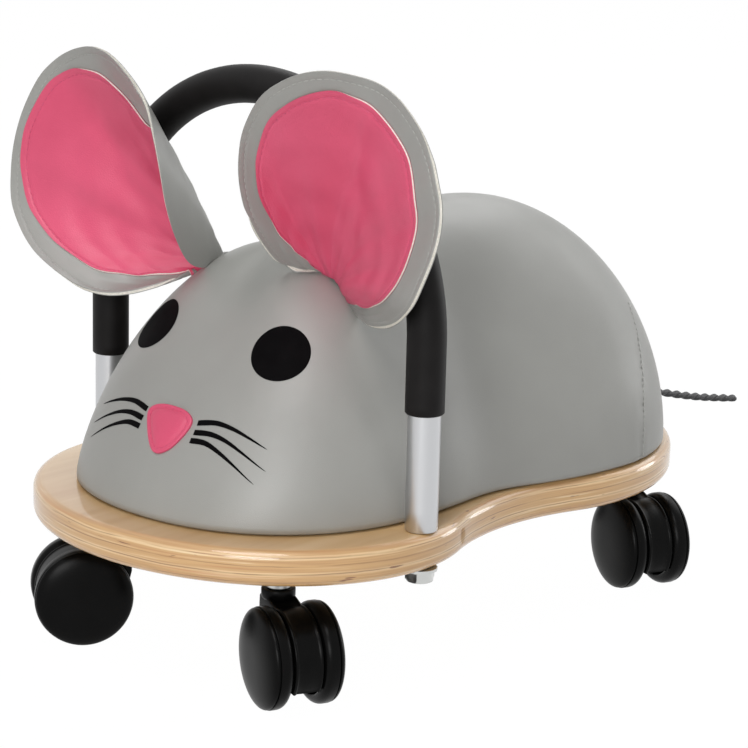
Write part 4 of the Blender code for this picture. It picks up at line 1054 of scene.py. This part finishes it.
def sew(name, lines, thread, pitch=3.2, length=2.5, radius=0.28):
    """Stitches along lines of points, in millimetres for the stitch, as one plain mesh on the base."""
    mesh = bpy.data.meshes.new(name)
    edges = []
    for line in lines:
        first = edges[-1][1] + 1 if edges else 0
        edges += [(number, number + 1) for number in range(first, first + len(line) - 1)]
    mesh.from_pydata(np.vstack(lines).tolist(), edges, [])
    made = bpy.data.objects.new(name, mesh)
    bpy.context.scene.collection.objects.link(made)
    sewing = made.modifiers.new("stitches", "NODES")
    sewing.node_group = STITCHES
    sizes = (pitch * MM, length * MM, radius * MM, thread)
    for key, value in zip(STITCH_KEYS.values(), sizes):
        sewing[key] = value
    apply_modifiers(made)
    belongs(made)
    return made


def seam_line(side):
    """The line of stitches behind a side seam of the seat."""
    heights = np.linspace(BOARD_TOP + SEAM_STITCHES_START, SEAM_TOP, 50)
    starts = np.column_stack([0 * heights, seam_y(heights) + SEAM_STITCHES_BEHIND, heights])
    return lifted(skin_points(starts, (side, 0, 0)), SEAM_STITCHES_LIFT)


rows = [sew(f"stitches_lining_{name}", [pink], PINK_THREAD) for name, (pink, grey) in EAR_STITCHES.items()]
rows += [sew(f"stitches_ear_{name}", [grey], GREY_THREAD) for name, (pink, grey) in EAR_STITCHES.items()]
nose_line = nose_ring(*NOSE_STITCHES)
rows.append(sew("stitches_nose", [np.vstack([nose_line, nose_line[:1]])], PINK_THREAD, 2.6, 2.0, 0.24))
rows.append(sew("stitches_side_seams", [seam_line(side) for side in SIDES.values()], GREY_THREAD, radius=0.2))
print("rows of stitches:", [(row.name, len(row.data.polygons)) for row in rows])

# %% [markdown]
# ## The hoop handle
#
# The hoop is one aluminium tube bent to a half circle between two posts, with a foam grip drawn over most
# of it. The grip's lower ends are cut square and its edge is slightly rounded. Both are rings swept along
# the same path, up the outside and back down the inside.

# %% Bend the hoop
HOOP_Y = FRONT_Y + 0.005
HOOP_HALF_WIDTH, HOOP_TOP = 0.109, 0.286
BEND_STEPS, POST_STEPS, TUBE_STEPS = 72, 9, 36
TUBE_RADIUS, TUBE_WALL = 0.008, 0.0015
GRIP_RADIUS = TUBE_RADIUS + 1.5 * MM
GRIP_ENDS = (0.1425, 0.1325)


def hoop_path(left_end, right_end):
    spring = HOOP_TOP - HOOP_HALF_WIDTH
    bend = spokes(np.linspace(0, math.pi, BEND_STEPS + 1)) * HOOP_HALF_WIDTH + (0, spring)
    left, right = (np.linspace(end, spring, POST_STEPS, endpoint=False) for end in (left_end, right_end))
    post = np.full(POST_STEPS, HOOP_HALF_WIDTH)
    x = np.concatenate([post, bend[:, 0], -post])
    z = np.concatenate([left, bend[:, 1], right[::-1]])
    return np.column_stack([x, np.full(len(x), HOOP_Y), z])


def swept_hoop(name, ends, outer, inner, rounding, material):
    path = hoop_path(*ends)
    ahead = along_line(path)
    outside = path.copy()
    outside[0] += ahead[0] * rounding
    outside[-1] -= ahead[-1] * rounding
    centres = np.vstack([path[:1], path[:1], outside, path[-1:], path[::-1]])
    ahead = np.vstack([ahead[:1], ahead[:1], ahead, ahead[-1:], ahead[::-1]])
    radii = [inner, outer - rounding, *[outer] * len(path), outer - rounding, *[inner] * len(path)]
    rings = round_rings(centres, radii, np.cross(ahead, (0, 1, 0)), (0, 1, 0), TUBE_STEPS)
    return skinned(name, rings, material, flat_angle=50)


tube = swept_hoop("hoop_aluminium_tube", (ON_BOARD, ON_BOARD), TUBE_RADIUS, TUBE_RADIUS - TUBE_WALL, 0.3 * MM,
                  ALUMINIUM)
belongs(tube, nodes=["handlebar_tube"])
grip = swept_hoop("hoop_foam_grip", GRIP_ENDS, GRIP_RADIUS, TUBE_RADIUS + 0.25 * MM, 0.6 * MM, FOAM_RUBBER)
belongs(grip, nodes=["handle_grip"])
print("hoop", len(tube.data.polygons), "faces, grip", len(grip.data.polygons))

# %% [markdown]
# ## The casters
#
# A twin-wheel caster has a moulded hood with a wheel on each side of it. Each wheel is a dished disc: a
# plain domed face, a fine groove beside the tread, and a well rounded inner edge. The wheel is a lathe
# profile with the groove drawn in, and the same profile serves all eight wheels. The hood is one outline
# in side view, laid down in rows across its width, with a raised bead along both edges.

# %% Turn the wheels
SMALLEST_RADIUS = 1e-7
WHEEL_RADIUS = 25 * MM
WHEEL_STEPS, ROUNDING_STEPS, DOME_STEPS = 96, 13, 19
BORE_RADIUS = 3.3 * MM
TRAIL = 18 * MM
WHEEL_INNER = 7.75 * MM
WHEEL_OUTER = WHEEL_INNER + 13.5 * MM
HUB_RADIUS, HOLLOW_RADIUS = 7.0 * MM, 20.2 * MM
TREAD_ROUNDING = 4.2 * MM
GROOVE_PLACE = WHEEL_INNER + 7.4 * MM
DOME_FALL, DOME_RISE = 0.75, 1.05
GROOVE_SECTION = ((0, -0.55), (-0.1, -0.25), (-0.4, -0.1), (-1.0, 0), (-1.05, 0.3), (-0.6, 0.5))
STEMS = {
    "front_right": (-0.057, HOOP_Y - 0.0435, 233),
    "front_left": (0.057, HOOP_Y - 0.0435, -24),
    "rear_left": (0.0655, REAR_Y + 0.0665, -24),
    "rear_right": (-0.0655, REAR_Y + 0.0665, 201),
}


def spun(profile, turn, steps):
    """Rings of a closed profile of (radius, height), spun round the middle one of the turn's directions."""
    radii, heights = np.array([*profile, profile[0]]).T
    first, axis, second = np.array(turn).T
    return round_rings(heights[:, None] * axis, np.maximum(radii, SMALLEST_RADIUS), first, second, steps)


def wheel_profile():
    """A wheel's section as (radius, distance from the caster's middle plane)."""
    dish, hollow = WHEEL_OUTER - 3.4 * MM, WHEEL_OUTER - 4.2 * MM
    points = [(0.0, dish), (BORE_RADIUS, dish), (BORE_RADIUS, WHEEL_INNER), (HUB_RADIUS, WHEEL_INNER),
              (HUB_RADIUS, hollow), (HOLLOW_RADIUS, hollow), (HOLLOW_RADIUS, WHEEL_INNER + 0.3 * MM)]
    for angle in np.linspace(0, math.pi / 2, ROUNDING_STEPS):
        points.append((WHEEL_RADIUS - TREAD_ROUNDING * (1 - math.sin(angle)),
                       WHEEL_INNER + TREAD_ROUNDING * (1 - math.cos(angle))))
    points += [(WHEEL_RADIUS + inset * MM, GROOVE_PLACE + along * MM) for inset, along in GROOVE_SECTION]
    dome, start = WHEEL_RADIUS - 0.35 * MM, GROOVE_PLACE + 0.75 * MM
    for angle in np.linspace(0, math.pi / 2, DOME_STEPS)[:-1]:
        along = start + (WHEEL_OUTER - start) * math.sin(angle) ** DOME_RISE
        points.append((dome * math.cos(angle) ** DOME_FALL, along))
    return points + [(0.0, WHEEL_OUTER)]


def caster_frame(name):
    """The caster's stem place, its wheel centre and the turn that lays a wheel's axis across its swivel."""
    x, y, swivel = STEMS[name]
    stem = np.array((x, y, 0))
    swing = np.array(Matrix.Rotation(math.radians(swivel), 3, "Z"))
    return stem, stem + swing @ (TRAIL, 0, WHEEL_RADIUS), swing


profile = wheel_profile()
for name in STEMS:
    stem, centre, swing = caster_frame(name)
    for letter, way in (("a", 1), ("b", -1)):
        rings = centre + spun(profile, swing * (way, way, 1), WHEEL_STEPS)
        wheel = skinned(f"wheel_moulded_{name}_{letter}", rings, NYLON, flat_angle=35)
        belongs(wheel, f"wheel_{name}_{letter}", [f"wheel_{name}_{letter}"])
print("wheels:", 2 * len(STEMS), "with", len(profile), "points in their section")

# %% Mould the hoods and turn the stems
HOOD_RADIUS = 23.5 * MM
HOOD_LOW = 12 * MM
HOOD_FRONT, HOOD_BACK = math.radians(102), math.pi - 0.15
HOOD_NECK = ((8.0, 49.2), (4.0, 50.0), (-5.0, 50.0), (-6.6, 48.6), (-7.0, 44.0), (-7.0, 36.0))
HOOD_ROWS = ((7.25, 1.2), (7.2, 0.6), (6.9, 0.2), (6.4, 0.0), (5.9, 0.1), (5.5, 0.45), (5.1, 0.6), (2.6, 0.5),
             (0.0, 0.48))
SOCKET_PROFILE = ((0.0, 40.0), (6.9, 40.0), (7.0, 47.6), (7.5, 48.4), (8.1, 49.0), (8.35, 49.6), (8.4, 52.9),
                  (8.2, 53.4), (7.7, 53.6), (4.6, 53.6), (4.3, 53.2), (4.3, 42.0), (0.0, 42.0))
STEM_PROFILE = ((0.0, 42.6), (3.7, 42.6), (4.0, 43.0), (4.0, 53.9), (5.6, 53.9), (6.0, 54.3), (6.0, 58.6),
                (5.5, 59.0), (5.5, 60.4), (6.4, 60.8), (6.6, 61.2), (6.6, 64.6), (6.2, 65.0), (4.0, 65.0),
                (4.0, 79.0), (0.0, 79.0))
ROUND_STEPS = 48
UPRIGHT = Matrix.Rotation(math.pi / 2, 3, "X")


def hood_outline():
    """The hood's side view as (distance from the stem, height), with its outward directions."""
    chord = math.asin((WHEEL_RADIUS - HOOD_LOW) / HOOD_RADIUS)
    front, back = (
        spokes(angles) * HOOD_RADIUS + (TRAIL, WHEEL_RADIUS)
        for angles in (np.linspace(-chord, HOOD_FRONT, 49), np.linspace(HOOD_BACK, math.pi + chord, 9))
    )
    spots = np.vstack([front, np.array(HOOD_NECK) * MM, back])
    ahead = unit(np.roll(spots, -1, 0) - np.roll(spots, 1, 0))
    return spots, ahead[:, ::-1] * (1, -1)


def hood(name):
    """Rows across the hood's width: rounded edges, a bead beside each, and a faintly hollow middle."""
    stem, _, swing = caster_frame(name)
    spots, outward = hood_outline()
    rings = []
    for across, inset in [(-across, inset) for across, inset in HOOD_ROWS] + [*reversed(HOOD_ROWS[:-1])]:
        flat = spots - outward * inset * MM
        local = np.column_stack([flat[:, 0], np.full(len(flat), across * MM), flat[:, 1]])
        rings.append(stem + local @ swing.T)
    build = bmesh.new()
    add_rings(build, rings, caps=(-1, 0))
    add_rings(build, stem + spun(SOCKET_PROFILE, UPRIGHT, ROUND_STEPS) * MM)
    return piece(f"hood_moulded_{name}", build, NYLON, flat_angle=38)


for name in STEMS:
    belongs(hood(name), f"swivel_{name}", [f"caster_housing_{name}"])
    rings = caster_frame(name)[0] + spun(STEM_PROFILE, UPRIGHT, ROUND_STEPS) * MM
    pin = skinned(f"stem_zinc_{name}", rings, ZINC, flat_angle=40)
    belongs(pin, nodes=[f"caster_stem_{name}"])
print("hoods and stems:", len(STEMS))

# %% Forge the hoop's bolts
BOLT_SECTION = ((0.0, 59.3), (5.9, 59.3), (6.5, 59.6), (9.0, 61.0), (9.0, 64.6), (4.0, 64.6), (4.0, 100.6),
                (0.0, 100.6))
HEX_HALF = 6.5
BOLT_STEPS = 72


def bolt_rings():
    """An M8 bolt, in millimetres: a lathe profile kept inside a hexagon 13 mm across its flats."""
    rings = spun(BOLT_SECTION, UPRIGHT, BOLT_STEPS)
    reach = np.linalg.norm(rings[..., :2], axis=-1)
    angle = np.arctan2(rings[..., 1], rings[..., 0]) % (math.pi / 3) - math.pi / 6
    rings[..., :2] *= np.minimum(1, HEX_HALF / np.cos(angle) / reach)[..., None]
    return rings


for name, side in SIDES.items():
    rings = bolt_rings() * MM + (side * HOOP_HALF_WIDTH, HOOP_Y, 0)
    bolt = skinned(f"bolt_zinc_{name}", rings, ZINC, flat_angle=25)
    belongs(bolt, nodes=[f"handle_bolt_{name}"])
print("hoop bolts:", len(SIDES))

# %% [markdown]
# ## What shows of the rest
#
# The remaining nodes of the frame have the right shape already: they only need the finish of the real
# thing. Giving a node its material dresses it without touching its mesh.

# %% Dress the plain nodes
FINISHES = {
    "cushion_board": RAW_PLYWOOD, "tube_plug": POLYAMIDE_PLUG, "handle_washer": ZINC, "cushion_screw": ZINC,
    "caster_insert": ZINC, "axle": ZINC,
}
dressed = 0
for node_name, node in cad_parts.items():
    for start, finish in FINISHES.items():
        if node_name.startswith(start):
            node.data.materials.clear()
            node.data.materials.append(finish)
            dressed += 1
print("nodes dressed:", dressed)

# %% [markdown]
# ## Floor, light and background
#
# The toy stands on a plain pale floor in soft studio light: lamps beside the camera, in front and behind,
# and a pale world. The camera and anything glossy see the bright white sweep of the studio, with a breath
# of the toy's shadow on it, while every other ray meets a plain matt floor.

# %% Lay the floor and light the studio
WHITE = (1, 1, 1, 1)
SWEEP_GLOW, WORLD_GLOW = 1.01, 0.06
SWEEP_SHARE = 0.985
FLOOR_CORNERS = ((-6, -6, 0), (6, -6, 0), (6, 6, 0), (-6, 6, 0))
LAMP_AIM = Vector((0, 0, 0.12))
LAMPS = {
    "camera_softbox": ((1.0, -1.9, 0.8), 1.0, 21),
    "front_softbox": ((0.4, -1.2, 2.2), 1.2, 25),
    "rear_left_softbox": ((-1.2, 1.6, 1.8), 1.2, 13),
    "rear_softbox": ((0.3, 1.9, 1.5), 1.6, 13),
    "rear_low_softbox": ((0.9, 2.2, 0.4), 0.8, 9),
}


def sees_white_sweep(tree):
    """One for camera rays and glossy rays, which see the white background, and zero for others."""
    seen = add(tree, "ShaderNodeLightPath").node.outputs
    rays = {0: seen["Is Camera Ray"], 1: seen["Is Glossy Ray"]}
    return add(tree, "ShaderNodeMath", rays, operation="MAXIMUM")


def pale_floor():
    material, tree = start_material("studio_floor_white", "f4f4f4", 0.9)
    matt = tree.nodes["Principled BSDF"].outputs[0]
    glow = add(tree, "ShaderNodeEmission", {"Color": WHITE, "Strength": SWEEP_GLOW})
    share = add(tree, "ShaderNodeMath", {0: sees_white_sweep(tree), 1: SWEEP_SHARE}, operation="MULTIPLY")
    mixed = add(tree, "ShaderNodeMixShader", {0: share, 1: matt, 2: glow})
    tree.links.new(mixed, tree.nodes["Material Output"].inputs["Surface"])
    return material


def soft_lamp(name, place, size, power):
    data = bpy.data.lights.new(name, "AREA")
    data.shape = "DISK"
    data.size = size
    data.energy = power
    lamp = bpy.data.objects.new(name, data)
    bpy.context.scene.collection.objects.link(lamp)
    lamp.location = place
    lamp.rotation_euler = (LAMP_AIM - Vector(place)).to_track_quat("-Z", "Y").to_euler()


skinned("studio_floor", [FLOOR_CORNERS], pale_floor(), caps=[0])
for name, settings in LAMPS.items():
    soft_lamp(name, *settings)
world = bpy.data.worlds.new("studio_world")
bpy.context.scene.world = world
world.use_nodes = True
sky = world.node_tree
background = sky.nodes["Background"]
background.inputs["Color"].default_value = WHITE
glow = {"Value": sees_white_sweep(sky), "To Min": WORLD_GLOW, "To Max": SWEEP_GLOW}
strength = add(sky, "ShaderNodeMapRange", glow)
sky.links.new(strength, background.inputs["Strength"])
bpy.context.scene.view_settings.view_transform = "Standard"
print("studio lit")
